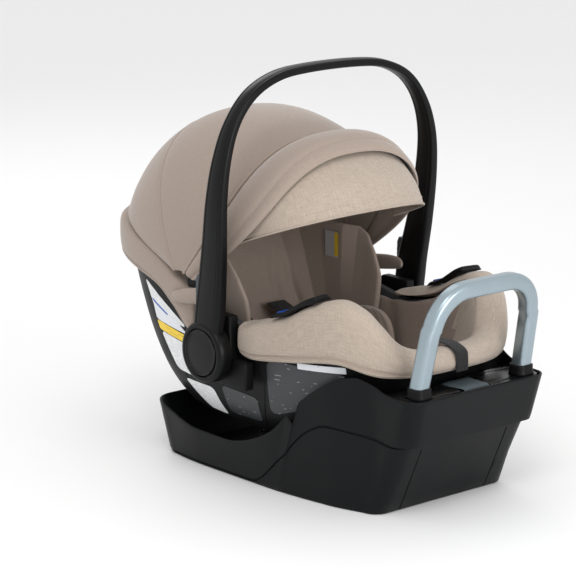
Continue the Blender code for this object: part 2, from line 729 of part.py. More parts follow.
def insert_section(index):
    """One upright section of the head insert at a station between a wing's tip and the middle."""
    face_x, face_y = INSERT_FACE[index]
    back_x, back_y = INSERT_BACK[index]
    low, high = INSERT_HEIGHTS[index]
    lean = INSERT_LEANS[index]
    spread = INSERT_SPREADS[index]
    middle = (low + high) / 2

    def at(x, y, z):
        return Vector((x + spread * (z - INSERT_LEVEL), y + lean * (z - INSERT_LEVEL), z))

    return [
        at(back_x, back_y, low + INSERT_ROUND), at(back_x, back_y, high - INSERT_ROUND),
        at((face_x + back_x) / 2, (face_y + back_y) / 2, high), at(face_x, face_y, high - INSERT_ROUND),
        at(face_x, face_y, middle), at(face_x, face_y, low + INSERT_ROUND),
        at((face_x + back_x) / 2, (face_y + back_y) / 2, low),
    ]


def build_inserts():
    """The head insert, whose wings reach forward along both sides, and the body support across the seat."""
    half = [insert_section(index) for index in range(len(INSERT_FACE))]
    mirrored = [[Vector((-p.x, p.y, p.z)) for p in ring] for ring in reversed(half[:-1])]
    add_object("head_insert", loft(half + mirrored), ("insert_fabric", KNIT, 0.9), 60)
    ends = [(0.112, 0.219), (0.111, 0.192), (0.104, 0.158), (0.078, 0.130), (0.040, 0.120), (0.0, 0.118)]
    line = [(x, BODY_Y, z + BODY_LIFT) for x, z in ends]
    line += [(-x, BODY_Y, z + BODY_LIFT) for x, z in reversed(ends[:-1])]
    pad = rounded_section(BODY_WIDTH, BODY_THICK, 0.006, 1)
    rings = sweep(smooth_path(line, 2), lambda index: pad, Vector((0, 1, 0)))
    add_object("body_insert", loft(rings), ("body_fabric", KNIT, 0.9), 60)


# ---------------------------------------------------------------- harness
def strap(name, points, width, side=Vector((1, 0, 0))):
    section = [(-width / 2, -WEB_THICK / 2), (width / 2, -WEB_THICK / 2),
               (width / 2, WEB_THICK / 2), (-width / 2, WEB_THICK / 2)]
    rings = sweep(smooth_path(points, 3), lambda index: section, side)
    return add_object(name, loft(rings), ("webbing", WEBBING, 0.7))


def build_harness():
    top = BUCKLE_Z + 0.006
    for side, tag in ((-1, "left"), (1, "right")):
        points = [(side * 0.048, 0.162, 0.2165), (side * 0.048, 0.070, 0.190), (side * 0.046, 0.000, 0.176),
                  (side * 0.040, -0.060, top)]
        strap(f"harness_strap_{tag}", points, WEB_WIDTH)
    crotch = [(0.0, -0.158, 0.134), (0.0, -0.142, 0.146), (0.0, BUCKLE_Y - 0.027, BUCKLE_Z)]
    strap("crotch_strap", crotch, WEB_WIDTH)
    clip = add_object("chest_clip", box_mesh((-0.072, 0.022, 0.1865), (0.072, 0.052, 0.1955)),
                      ("clip_plastic", BLACK, 0.4))
    add_bevel(clip, 0.002, 1)
    for side in (-1, 1):
        slot = box_mesh((side * 0.0475 - 0.021, 0.0, 0.17), (side * 0.0475 + 0.021, 0.080, 0.1905))
        add_boolean(clip, cutter(f"clip_slot_{side}", slot))
    buckle = add_object("buckle_body", box_mesh((-0.026, BUCKLE_Y - 0.025, BUCKLE_Z - 0.010),
                                                (0.026, BUCKLE_Y + 0.035, BUCKLE_Z + 0.010)),
                        ("buckle_plastic", BLACK, 0.4))
    pocket = box_mesh((-0.0135, BUCKLE_Y - 0.0155, BUCKLE_Z + 0.002),
                      (0.0135, BUCKLE_Y + 0.0115, BUCKLE_Z + 0.02))
    add_boolean(buckle, cutter("buckle_pocket", pocket))
    button = add_object("buckle_button", box_mesh((-0.013, BUCKLE_Y - 0.015, BUCKLE_Z + 0.0065),
                                                  (0.013, BUCKLE_Y + 0.011, BUCKLE_Z + 0.0125)),
                        ("button_red", RED, 0.4), None, (0.0, BUCKLE_Y, BUCKLE_Z + 0.0065))
    add_bevel(button, 0.001, 1)
    front = SHELL_FRONT - COVER_PROUD - 0.003
    crown = along(RIM_LINE, SHELL_FRONT) + COVER_CROWN + 0.003
    points = [(0.0, SHELL_FRONT + 0.040, crown + 0.001), (0.0, SHELL_FRONT + 0.008, crown + 0.002),
              (0.0, front + 0.004, crown - 0.006), (0.0, front, crown - 0.018), (0.0, front, crown - 0.036)]
    strap("adjuster_strap", points, TAIL_WEB_WIDTH)


# ---------------------------------------------------------------- handle
def arch_path():
    """Centre line of the handle, from the -X hub over the grip to the +X hub."""
    half = [
        (-ARM_X, PIVOT_Y - 0.005, PIVOT_Z + 0.030), (-ARM_X, PIVOT_Y - 0.013, PIVOT_Z + 0.085),
        (-ARM_X - ARM_BOW * 0.6, PIVOT_Y - 0.026, PIVOT_Z + 0.160),
        (-ARM_X - ARM_BOW, PIVOT_Y - 0.035, PIVOT_Z + 0.235),
        (-ARM_X - ARM_BOW * 0.2, GRIP_Y + 0.003, GRIP_Z - 0.124), (-ARM_X + 0.017, GRIP_Y + 0.001, GRIP_Z - 0.071),
        (-ARM_X + 0.051, GRIP_Y, GRIP_Z - 0.030), (-ARM_X + 0.101, GRIP_Y, GRIP_Z - 0.007), (-0.045, GRIP_Y, GRIP_Z),
    ]
    return smooth_path(half + [(-x, y, z) for x, y, z in reversed(half)], 3)


def arch_shares(path):
    """0 at the hubs and 1 over the grip, for each point of the path."""
    low = path[0].z
    return [min(max((p.z - low - 0.04) / (GRIP_Z - low - 0.10), 0.0), 1.0) for p in path]


def build_handle():
    path = arch_path()
    shares = arch_shares(path)

    def section(index):
        share = shares[index]
        width = ARM_WIDTH + (GRIP_WIDTH - ARM_WIDTH) * share
        thick = ARM_SECTION + (GRIP_SECTION - ARM_SECTION) * share
        return rounded_section(width, thick, thick * 0.3, 1)

    arch = add_object("handle_arch", loft(sweep(path, section, Vector((0, 1, 0)))), ("handle_plastic", BLACK, 0.36), 45,
                      (0.0, PIVOT_Y, PIVOT_Z))
    for side, tag in ((-1, "left"), (1, "right")):
        low, high = sorted((side * HUB_INNER_X, side * HUB_OUTER_X))
        disc = cutter(f"hub_disc_{tag}", cylinder_x(low, high, PIVOT_Y, PIVOT_Z, HUB_R, 32))
        add_boolean(arch, disc, "UNION")
        low, high = sorted((side * (HUB_OUTER_X - CAP_THICK - 0.001), side * (HUB_OUTER_X + 0.01)))
        add_boolean(arch, cutter(f"cap_recess_{tag}", cylinder_x(low, high, PIVOT_Y, PIVOT_Z, CAP_R + RUN, 28)))
        low, high = sorted((side * (HUB_INNER_X - 0.01), side * (HUB_INNER_X + 0.012)))
        add_boolean(arch, cutter(f"pin_bore_{tag}", cylinder_x(low, high, PIVOT_Y, PIVOT_Z, PIN_R + RUN, 16)))
        add_boolean(arch, cutter(f"button_slot_{tag}", button_mesh(side, RUN, BUTTON_TRAVEL + 0.002, 0.02)))
        low, high = sorted((side * (HUB_OUTER_X - CAP_THICK - 0.0005), side * (HUB_OUTER_X - 0.0005)))
        add_object(f"hub_cap_{tag}", cylinder_x(low, high, PIVOT_Y, PIVOT_Z, CAP_R, 28), ("cap_plastic", BLACK, 0.25), 40,
                   (0.0, PIVOT_Y, PIVOT_Z))
        low, high = sorted((side * (HOUSING_INNER_X - 0.004), side * (HUB_INNER_X + 0.011)))
        add_object(f"pivot_pin_{tag}", cylinder_x(low, high, PIVOT_Y, PIVOT_Z, PIN_R, 16), ("pivot_steel", STEEL, 0.3, 1.0), 40)
        add_object(f"handle_button_{tag}", button_mesh(side, 0.0, 0.0, 0.0), ("button_plastic", GREY, 0.45))


def button_mesh(side, grow, deeper, beyond):
    """The release button in the arm's rear edge; grown, deepened and run out behind, it is its own slot."""
    rear = PIVOT_Y - 0.013 + ARM_WIDTH / 2 + 0.004
    middle = side * ARM_X
    return box_mesh(
        (middle - BUTTON_THICK / 2 - grow, rear - BUTTON_DEPTH - deeper, PIVOT_Z + 0.058 - grow),
        (middle + BUTTON_THICK / 2 + grow, rear + beyond, PIVOT_Z + 0.058 + BUTTON_LENGTH + grow),
    )


def build_housings():
    """The pivot housings on the shell's sides, each with a foot that reaches down and forward."""
    profile = [
        (PIVOT_Y - 0.034, 0.262), (PIVOT_Y - 0.034, 0.196), (PIVOT_Y - 0.070, 0.194), (PIVOT_Y - 0.070, 0.152),
        (PIVOT_Y + 0.030, 0.152), (PIVOT_Y + 0.042, 0.175), (PIVOT_Y + 0.042, 0.236), (PIVOT_Y + 0.026, 0.262),
    ]
    for side, tag in ((-1, "left"), (1, "right")):
        low, high = sorted((side * HOUSING_INNER_X, side * HOUSING_OUTER_X))
        rings = [[(x, y, z) for y, z in profile] for x in (low, high)]
        housing = add_object(f"pivot_housing_{tag}", loft(rings), ("housing_plastic", BLACK, 0.4))
        bore = cylinder_x(low - 0.01, high + 0.01, PIVOT_Y, PIVOT_Z, PIN_R + GAP, 16)
        add_boolean(housing, cutter(f"housing_bore_{tag}", bore))


def build_release_lever():
    """The squeeze lever behind the head end, which frees the carrier from the base; it leans with the shell."""
    front = SHELL_REAR - LEVER_DRAW
    bm = box_mesh((-LEVER_HALF, front, LEVER_BOTTOM), (LEVER_HALF, front + LEVER_THICK, LEVER_TOP))
    for vert in bm.verts:
        vert.co.y -= LEVER_LEAN * (LEVER_TOP - vert.co.z)
    origin = (0.0, front + LEVER_THICK / 2, LEVER_TOP - 0.004)
    lever = add_object("carrier_release_lever", bm, ("lever_plastic", GREY, 0.45), None, origin)
    add_bevel(lever, 0.002, 1)


# ---------------------------------------------------------------- canopy
def hoop(end, top, half, power, bulge=0.0, inset=0.0):
    """Points of one hoop from -X to +X; end and top are (y, z), bulge pushes its flanks along Y."""
    made = []
    half -= inset
    for index in range(HOOP_STEPS + 1):
        angle = math.pi * index / HOOP_STEPS
        across = -math.copysign(abs(math.cos(angle)) ** (2 / power), math.cos(angle))
        rise = abs(math.sin(angle)) ** (2 / power)
        reach = math.hypot(top[0] - end[0], top[1] - end[1])
        share = rise * (reach - inset) / reach
        made.append(Vector((
            half * across,
            end[0] + (top[0] - end[0]) * share + bulge * math.sin(math.pi * rise),
            end[1] + (top[1] - end[1]) * share,
        )))
    return made


def hoop_shell(hoops, thickness):
    """A thin closed shell through hoops, open underneath."""
    rings = []
    for end, top, half, power, bulge in hoops:
        outer = hoop(end, top, half, power, bulge)
        inner = hoop(end, top, half, power, bulge, thickness)
        rings.append(outer + list(reversed(inner)))
    return loft(rings)


KINK = ((CANOPY_AXIS_Y + 0.007, CANOPY_AXIS_Z + 0.010), (0.004, 0.515), CANOPY_HALF, 2.3, -0.020)
DOME_HOOPS = (
    ((0.134, 0.304), (0.341, 0.385), 0.178, 3.2, 0.0),
    ((0.134, 0.306), (0.329, 0.430), 0.183, 2.7, 0.0),
    ((0.131, 0.308), (0.297, 0.480), CANOPY_HALF, 2.4, 0.0),
    ((0.127, 0.309), (0.240, 0.520), CANOPY_HALF, 2.35, 0.0),
    ((0.122, 0.310), (0.175, 0.543), CANOPY_HALF, 2.3, 0.0),
    ((0.118, 0.310), (0.112, 0.546), CANOPY_HALF, 2.3, -0.004),
    ((0.113, 0.310), (0.053, 0.534), CANOPY_HALF, 2.3, -0.010),
    KINK,
)
BRIM_HOOPS = (
    ((KINK[0][0] - 0.004, KINK[0][1] - 0.002), (KINK[1][0] - 0.0025, KINK[1][1]), CANOPY_HALF, 2.3, -0.022),
    ((0.098, 0.306), (-0.030, 0.524), CANOPY_HALF, 2.35, -0.030),
    ((0.092, 0.302), (-0.062, 0.522), CANOPY_HALF, 2.4, -0.036),
    ((0.086, 0.298), (-0.084, 0.504), CANOPY_HALF - 0.003, 2.4, -0.040),
)
VISOR_HOOPS = (
    ((-0.018, 0.392), (-0.080, 0.486), VISOR_HALF - 0.012, 2.4, 0.0),
    ((-0.020, 0.384), (-0.118, 0.460), VISOR_HALF - 0.006, 2.4, 0.0),
    ((-0.020, 0.375), (-0.145, 0.423), VISOR_HALF, 2.4, 0.0),
)


def build_canopy():
    add_object("canopy_dome", hoop_shell(DOME_HOOPS, DOME_THICK), ("canopy_knit", KNIT, 0.9), 60)
    add_object("canopy_brim", hoop_shell(BRIM_HOOPS, BRIM_THICK), ("brim_knit", KNIT, 0.9), 60,
               (0.0, CANOPY_AXIS_Y, CANOPY_AXIS_Z))
    add_object("visor", hoop_shell(VISOR_HOOPS, VISOR_THICK), ("visor_fabric", MELANGE, 0.95), 60,
               (0.0, VISOR_HOOPS[0][0][0], VISOR_HOOPS[0][0][1]))
    for side, tag in ((-1, "left"), (1, "right")):
        low, high = sorted((side * MOUNT_INNER_X, side * MOUNT_OUTER_X))
        mount = add_object(
            f"canopy_mount_{tag}",
            box_mesh((low, CANOPY_AXIS_Y - MOUNT_HALF, SKIRT_TOP - 0.004),
                     (high, CANOPY_AXIS_Y + MOUNT_HALF, CANOPY_AXIS_Z + MOUNT_HALF)),
            ("mount_plastic", BLACK, 0.4),
        )
        add_bevel(mount, 0.003, 1)
        low, high = sorted((side * SKIRT_INNER_X, side * (SKIRT_INNER_X + DOME_THICK)))
        rings = [[(x, y, z) for y, z in SKIRT_PROFILE] for x in (low, high)]
        add_object(f"canopy_skirt_{tag}", loft(rings), ("skirt_knit", KNIT, 0.9))


# ---------------------------------------------------------------- build
clear_scene()
build_base_shell()
build_deck()
build_socket("bar_socket_left", -1)
build_socket("bar_socket_right", 1)
build_bar()
build_paddle()
build_latch()
build_recline_foot()
build_shell()
build_foam_and_liner()
build_striker("striker_front", STRIKER_FRONT_Y)
build_striker("striker_rear", STRIKER_REAR_Y)
build_covers()
build_belt_guides()
build_inserts()
build_harness()
build_housings()
build_handle()
build_release_lever()
build_canopy()
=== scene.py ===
"""Visual model of an infant car seat: a carrier with a folding handle and canopy, latched into its base.

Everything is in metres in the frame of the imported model: +Z up, the foot end towards -Y, symmetric about
X = 0.
Each sub-assembly is a class that holds its own sizes, builds its meshes and dresses them.
"""

from __future__ import annotations

import logging
import math
from dataclasses import dataclass
from enum import Enum
from functools import lru_cache
from typing import Callable, Sequence

import bmesh
import bpy
import numpy as np
from mathutils import Matrix, Vector


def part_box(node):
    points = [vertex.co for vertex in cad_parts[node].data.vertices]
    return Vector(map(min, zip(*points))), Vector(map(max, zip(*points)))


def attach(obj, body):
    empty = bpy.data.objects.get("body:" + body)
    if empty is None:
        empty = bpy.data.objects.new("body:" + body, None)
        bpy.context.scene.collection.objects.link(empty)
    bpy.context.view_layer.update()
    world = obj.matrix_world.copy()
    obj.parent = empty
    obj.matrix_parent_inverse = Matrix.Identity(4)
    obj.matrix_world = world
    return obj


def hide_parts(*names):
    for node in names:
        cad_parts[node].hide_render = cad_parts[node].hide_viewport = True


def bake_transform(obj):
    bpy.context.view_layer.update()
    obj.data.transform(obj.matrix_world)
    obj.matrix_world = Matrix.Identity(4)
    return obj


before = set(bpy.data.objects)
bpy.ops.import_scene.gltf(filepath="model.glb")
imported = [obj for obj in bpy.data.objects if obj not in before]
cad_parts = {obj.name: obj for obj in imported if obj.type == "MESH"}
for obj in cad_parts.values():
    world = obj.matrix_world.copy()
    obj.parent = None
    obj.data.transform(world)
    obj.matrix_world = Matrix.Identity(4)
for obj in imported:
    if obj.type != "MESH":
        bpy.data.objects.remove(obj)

LOG = logging.getLogger("infant_car_seat")

Ring = list[Vector]
Line = tuple[tuple[float, float], ...]
Colour = tuple[float, float, float]

LEFT, RIGHT = -1, 1
SIDES = ((LEFT, "left"), (RIGHT, "right"))
WELD = 1e-6
CLOTH_UV = "cloth"
X_AXIS, Y_AXIS = Vector((1, 0, 0)), Vector((0, 1, 0))


# ------------------------------------------------------------------------------------------------ shape tools
@lru_cache(maxsize=None)
def line_slopes(line: Line) -> tuple[float, ...]:
    """Finds slopes that keep a curve through the line's points free of overshoot.

    Args:
        line: (position, height) points in order of position.

    Returns:
        One slope for each point.
    """
    steps = [(b[1] - a[1]) / (b[0] - a[0]) for a, b in zip(line, line[1:])]
    slopes = [steps[0]]
    for before, after in zip(steps, steps[1:]):
        slopes.append(0.0 if before * after <= 0 else 2 * before * after / (before + after))
    slopes.append(steps[-1])
    return tuple(slopes)


def smooth_along(line: Line, value: float) -> float:
    """Reads the height at a position on a smooth curve through a line's points.

    Args:
        line: (position, height) points in order of position.
        value: the position to read.

    Returns:
        The height, held level beyond either end.
    """
    if value <= line[0][0]:
        return line[0][1]
    slopes = line_slopes(line)
    for index, ((low, start), (high, end)) in enumerate(zip(line, line[1:])):
        if value <= high:
            width = high - low
            t = (value - low) / width
            return (
                (1 + 2 * t) * (1 - t) ** 2 * start + t * (1 - t) ** 2 * width * slopes[index]
                + t * t * (3 - 2 * t) * end + t * t * (t - 1) * width * slopes[index + 1]
            )
    return line[-1][1]


def blend_between(low: float, high: float, value: float) -> float:
    """Rises smoothly from 0 at low to 1 at high."""
    t = min(max((value - low) / (high - low), 0.0), 1.0)
    return t * t * (3 - 2 * t)


def rounded_end(share: float) -> float:
    """Rises from 0 to 1 along a quarter circle, as a rounded end does."""
    return math.sqrt(max(1 - (1 - min(share, 1.0)) ** 2, 0.0))


def powered(value: float, power: float) -> float:
    """Raises a value to a power and keeps its sign."""
    return math.copysign(abs(value) ** power, value)


def full_turn(count: int) -> list[tuple[float, float]]:
    """Lists the cosine and sine of evenly spaced angles, once round."""
    angles = [2 * math.pi * k / count for k in range(count)]
    return [(math.cos(a), math.sin(a)) for a in angles]


def run_along(path: Ring) -> list[float]:
    """Gives how far along a path each of its points lies."""
    run = [0.0]
    for a, b in zip(path, path[1:]):
        run.append(run[-1] + (b - a).length)
    return run


def smooth_path(points: Sequence[Sequence[float]], steps: int) -> Ring:
    """Draws a smooth curve through points.

    Args:
        points: the points it passes through.
        steps: how many pieces each span is cut into.

    Returns:
        The points of the curve.
    """
    knots = [Vector(p) for p in points]
    last = len(knots) - 1
    made = []
    for index in range(last):
        before, start = knots[max(index - 1, 0)], knots[index]
        end, after = knots[index + 1], knots[min(index + 2, last)]
        for step in range(steps):
            t = step / steps
            made.append(0.5 * (
                2 * start + (end - before) * t + (2 * before - 5 * start + 4 * end - after) * t * t
                + (3 * start - before - 3 * end + after) * t ** 3
            ))
    made.append(knots[last])
    return made


def rounded_section(width: float, height: float, corner: float, steps: int = 6) -> list[tuple[float, float]]:
    """Gives a rounded rectangle about (0, 0).

    Args:
        width: its whole width.
        height: its whole height.
        corner: the radius of its corners.
        steps: how many pieces each corner has.

    Returns:
        (across, up) points.
    """
    made = []
    for turn, (sx, sy) in enumerate(((1, 1), (-1, 1), (-1, -1), (1, -1))):
        for step in range(steps + 1):
            angle = math.pi / 2 * (turn + step / steps)
            made.append((
                sx * (width / 2 - corner) + corner * math.cos(angle),
                sy * (height / 2 - corner) + corner * math.sin(angle),
            ))
    return made


def sweep(path: Ring, section_at: Callable[[int], Sequence[tuple[float, float]]],
          side: Vector) -> list[Ring]:
    """Carries a section along a path.

    Args:
        path: the points to follow.
        section_at: gives the (across, up) points of the section at a path index.
        side: the direction that a section's across axis keeps to.

    Returns:
        One ring for each point of the path.
    """
    rings = []
    last = len(path) - 1
    for index, point in enumerate(path):
        tangent = (path[min(index + 1, last)] - path[max(index - 1, 0)]).normalized()
        first = (side - tangent * side.dot(tangent)).normalized()
        second = tangent.cross(first)
        rings.append([point + first * a + second * b for a, b in section_at(index)])
    return rings


def ring_skin(rings: Sequence[Ring], closed: bool = True, caps: bool = False) -> bmesh.types.BMesh:
    """Moves a grid onto rings, welds its seam and gives it UVs in metres.

    Args:
        rings: rows of equally many points.
        closed: whether each row runs back to its start.
        caps: whether the open ends are filled.

    Returns:
        The skin, with its faces turned out.
    """
    count = len(rings[0])
    columns = count if closed else count - 1
    rows = len(rings) - 1
    across = [0.0]
    for column in range(columns):
        across.append(across[-1] + sum(
            (ring[(column + 1) % count] - ring[column]).length for ring in rings) / len(rings))
    along = [0.0]
    for first, second in zip(rings, rings[1:]):
        along.append(along[-1] + sum((b - a).length for a, b in zip(first, second)) / count)
    bm = bmesh.new()
    bmesh.ops.create_grid(bm, x_segments=columns, y_segments=rows, size=0.5)
    place = {v: (round((v.co.x + 0.5) * columns), round((v.co.y + 0.5) * rows)) for v in bm.verts}
    layer = bm.loops.layers.uv.new(CLOTH_UV)
    for face in bm.faces:
        for loop in face.loops:
            column, row = place[loop.vert]
            loop[layer].uv = (across[column], along[row])
    for vert, (column, row) in place.items():
        vert.co = rings[row][column % count]
    bmesh.ops.remove_doubles(bm, verts=bm.verts, dist=WELD)
    if caps:
        bmesh.ops.holes_fill(bm, edges=[e for e in bm.edges if e.is_boundary], sides=0)
    bmesh.ops.recalc_face_normals(bm, faces=bm.faces)
    return bm


def round_edges(bm: bmesh.types.BMesh, corner: float, segments: int) -> None:
    """Rounds every edge of a body."""
    bmesh.ops.bevel(bm, geom=bm.edges[:], offset=corner, offset_type="OFFSET", segments=segments,
                    profile=0.5, affect="EDGES", material=-1, clamp_overlap=True)


def block(low: Sequence[float], high: Sequence[float], corner: float = 0.0,
          segments: int = 3) -> bmesh.types.BMesh:
    """Makes a box with rounded edges.

    Args:
        low: its lowest corner.
        high: its highest corner.
        corner: the radius of its edges.
        segments: how many pieces each rounded edge has.

    Returns:
        The box.
    """
    bm = bmesh.new()
    bmesh.ops.create_cube(bm, size=1.0)
    bmesh.ops.scale(bm, vec=Vector(high) - Vector(low), verts=bm.verts)
    bmesh.ops.translate(bm, verts=bm.verts, vec=(Vector(low) + Vector(high)) / 2)
    if corner:
        round_edges(bm, corner, segments)
    return bm


def turned(profile: Sequence[tuple[float, float]], centre: Sequence[float], side: int,
           steps: int = 64) -> bmesh.types.BMesh:
    """Spins a profile about an axis along X.

    Args:
        profile: (distance out along X, radius) points from the axis and back to it.
        centre: a point on the axis; its X is where distances start.
        side: the sense in which distances run.
        steps: how many pieces the full turn has.

    Returns:
        The turned body.
    """
    bm = bmesh.new()
    verts = [bm.verts.new((centre[0] + side * out, centre[1], centre[2] + radius)) for out, radius in profile]
    edges = [bm.edges.new(pair) for pair in zip(verts, verts[1:])]
    bmesh.ops.spin(bm, geom=verts + edges, cent=centre, axis=(1, 0, 0), angle=2 * math.pi, steps=steps,
                   use_merge=True)
    bmesh.ops.remove_doubles(bm, verts=bm.verts, dist=WELD)
    bmesh.ops.recalc_face_normals(bm, faces=bm.faces)
    return bm


def tube(path: Ring, radius: float, sides: int = 8) -> bmesh.types.BMesh:
    """Makes a round cord with filled ends along a path.

    Args:
        path: the points of its centre line.
        radius: its radius.
        sides: how many sides its section has.

    Returns:
        The cord.
    """
    rings = []
    last = len(path) - 1
    normal = Vector((0, 0, 1))
    turn = full_turn(sides)
    for index, point in enumerate(path):
        tangent = (path[min(index + 1, last)] - path[max(index - 1, 0)]).normalized()
        normal = normal - tangent * normal.dot(tangent)
        if normal.length < 1e-4:
            normal = tangent.orthogonal()
        normal.normalize()
        second = tangent.cross(normal)
        rings.append([point + (normal * ca + second * sa) * radius for ca, sa in turn])
    return ring_skin(rings, caps=True)


def stitches(path: Ring, outward: Callable[[int], Vector], length: float = 0.0032, gap: float = 0.0016,
             thick: float = 0.00075) -> bmesh.types.BMesh:
    """Lays a row of thread stitches along a path.

    Args:
        path: close points that the row follows.
        outward: gives the direction away from the cloth at a path index.
        length: how long one stitch is.
        gap: the space between two stitches.
        thick: how thick the thread is.

    Returns:
        The stitches, a few faces each.
    """
    bm = bmesh.new()
    travelled = 0.0
    due = 0.0
    for index, (a, b) in enumerate(zip(path, path[1:])):
        span = (b - a).length
        while due < travelled + span and span > 0:
            centre = a.lerp(b, (due - travelled) / span)
            along = (b - a).normalized()
            up = outward(index)
            up = (up - along * up.dot(along)).normalized()
            placing = Matrix((along, up.cross(along), up)).transposed().to_4x4()
            placing.translation = centre + up * thick * 0.2
            made = bmesh.ops.create_cube(bm, size=1.0)["verts"]
            for vert in made:
                if vert.co.z > 0:
                    vert.co.x *= 0.6
                    vert.co.y *= 0.5
            bmesh.ops.scale(bm, vec=(length, thick, thick), verts=made)
            bmesh.ops.transform(bm, matrix=placing, verts=made)
            due += length + gap
        travelled += span
    return bm


# ------------------------------------------------------------------------------------------------ node tools
class Graph:
    """Places and wires shader nodes in one tree."""

    def __init__(self, tree: bpy.types.NodeTree) -> None:
        """Takes the tree to work in."""
        self.tree = tree

    def add(self, kind: str, inputs: dict[str | int, object] | None = None,
            **settings: object) -> bpy.types.Node:
        """Adds a node.

        Args:
            kind: the node's type name.
            inputs: sockets to wire and numbers to set, by input name or index.
            settings: attributes of the node itself.

        Returns:
            The node.
        """
        node = self.tree.nodes.new(kind)
        for name, value in settings.items():
            setattr(node, name, value)
        for key, value in (inputs or {}).items():
            if isinstance(value, bpy.types.NodeSocket):
                self.tree.links.new(value, node.inputs[key])
            else:
                node.inputs[key].default_value = value
        return node

    def math(self, operation: str, first: object, second: object = 0.0) -> bpy.types.NodeSocket:
        """Adds a Math node and returns its value."""
        return self.add("ShaderNodeMath", {0: first, 1: second}, operation=operation).outputs[0]

    def noise(self, vector: object, scale: float, detail: float = 2.0) -> bpy.types.NodeSocket:
        """Adds a Noise Texture and returns its value."""
        inputs = {"Vector": vector, "Scale": scale, "Detail": detail}
        return self.add("ShaderNodeTexNoise", inputs).outputs["Fac"]

    def stretched(self, vector: object, factors: Sequence[float]) -> bpy.types.NodeSocket:
        """Multiplies a vector by factors, one for each axis."""
        return self.add("ShaderNodeVectorMath", {0: vector, 1: factors}, operation="MULTIPLY").outputs[0]

    def ranged(self, value: object, low: float, high: float, to_low: float = 0.0,
               to_high: float = 1.0) -> bpy.types.NodeSocket:
        """Maps a value's range onto another, clamped."""
        return self.add("ShaderNodeMapRange", {
            "Value": value, "From Min": low, "From Max": high, "To Min": to_low, "To Max": to_high,
        }).outputs[0]

    def mixed(self, factor: object, first: object, second: object) -> bpy.types.NodeSocket:
        """Mixes two colours."""
        return self.add("ShaderNodeMix", {0: factor, 6: first, 7: second}, data_type="RGBA").outputs[2]

    def feed(self, socket: bpy.types.NodeSocket, node: bpy.types.Node, name: str) -> None:
        """Wires a socket into a node's input."""
        self.tree.links.new(socket, node.inputs[name])

    def bump(self, shader: bpy.types.Node, height: object, strength: float, distance: float,
             invert: bool = False) -> None:
        """Gives a shader the relief of a height in metres."""
        node = self.add("ShaderNodeBump", {"Height": height, "Strength": strength, "Distance": distance},
                        invert=invert)
        self.feed(node.outputs[0], shader, "Normal")

    def cells(self, entry: bpy.types.Node) -> tuple[bpy.types.NodeSocket, ...]:
        """Divides a group's vector by its pitch.

        Args:
            entry: the group's input node.

        Returns:
            The divided vector, its first part and its second.
        """
        scaled = self.add("ShaderNodeVectorMath", {0: entry.outputs["Vector"]}, operation="SCALE")
        self.feed(self.math("DIVIDE", 1.0, entry.outputs["Pitch"]), scaled, "Scale")
        split = self.add("ShaderNodeSeparateXYZ", {0: scaled.outputs[0]})
        return scaled.outputs[0], split.outputs[0], split.outputs[1]

    def arch(self, value: bpy.types.NodeSocket) -> bpy.types.NodeSocket:
        """Rises and falls once over each whole step of a value."""
        return self.math("SINE", self.math("MULTIPLY", self.math("FRACT", value), math.pi))


def node_group(name: str, inputs: Sequence[tuple[str, str, object]], outputs: Sequence[tuple[str, str]],
               wire: Callable[[Graph, bpy.types.Node], dict[str, bpy.types.NodeSocket]],
               ) -> bpy.types.NodeTree:
    """Builds a shader node group once.

    Args:
        name: the group's name.
        inputs: (name, socket type, default) of each input.
        outputs: (name, socket type) of each output.
        wire: places the nodes and gives the socket that feeds each output.

    Returns:
        The group.
    """
    found = bpy.data.node_groups.get(name)
    if found:
        return found
    tree = bpy.data.node_groups.new(name, "ShaderNodeTree")
    for label, kind, default in inputs:
        made = tree.interface.new_socket(name=label, in_out="INPUT", socket_type=kind)
        if default is not None:
            made.default_value = default
    for label, kind in outputs:
        tree.interface.new_socket(name=label, in_out="OUTPUT", socket_type=kind)
    graph = Graph(tree)
    entry = graph.add("NodeGroupInput")
    leave = graph.add("NodeGroupOutput")
    for label, socket in wire(graph, entry).items():
        tree.links.new(socket, leave.inputs[label])
    return tree


VECTOR, FLOAT = "NodeSocketVector", "NodeSocketFloat"


def weave_group() -> bpy.types.NodeTree:
    """A plain weave: threads over and under each other, with slubs of lighter and darker yarn."""

    def wire(graph: Graph, entry: bpy.types.Node) -> dict[str, bpy.types.NodeSocket]:
        """Places the weave's nodes."""
        scaled, x, y = graph.cells(entry)
        row = graph.math("ADD", graph.math("FLOOR", x), graph.math("FLOOR", y))
        over = graph.math("PINGPONG", row, 1.0)
        warp, weft = graph.arch(x), graph.arch(y)
        raised = graph.add("ShaderNodeMix", {0: over, 2: warp, 3: weft}, data_type="FLOAT").outputs[0]
        yarn_a = graph.noise(graph.stretched(scaled, (0.55, 0.045, 1.0)), 1.0, 3.0)
        yarn_b = graph.noise(graph.stretched(scaled, (0.045, 0.55, 1.0)), 1.3, 3.0)
        yarn = graph.add("ShaderNodeMix", {0: over, 2: yarn_a, 3: yarn_b}, data_type="FLOAT").outputs[0]
        broad = graph.math("MULTIPLY", graph.math("ADD", yarn_a, yarn_b), 0.5)
        fleck = graph.math("ADD", graph.math("MULTIPLY", yarn, 0.35), graph.math("MULTIPLY", broad, 0.65))
        return {"Height": raised, "Fleck": graph.ranged(fleck, 0.38, 0.62)}

    return node_group("woven_threads", (("Vector", VECTOR, None), ("Pitch", FLOAT, 0.001)),
                      (("Height", FLOAT), ("Fleck", FLOAT)), wire)


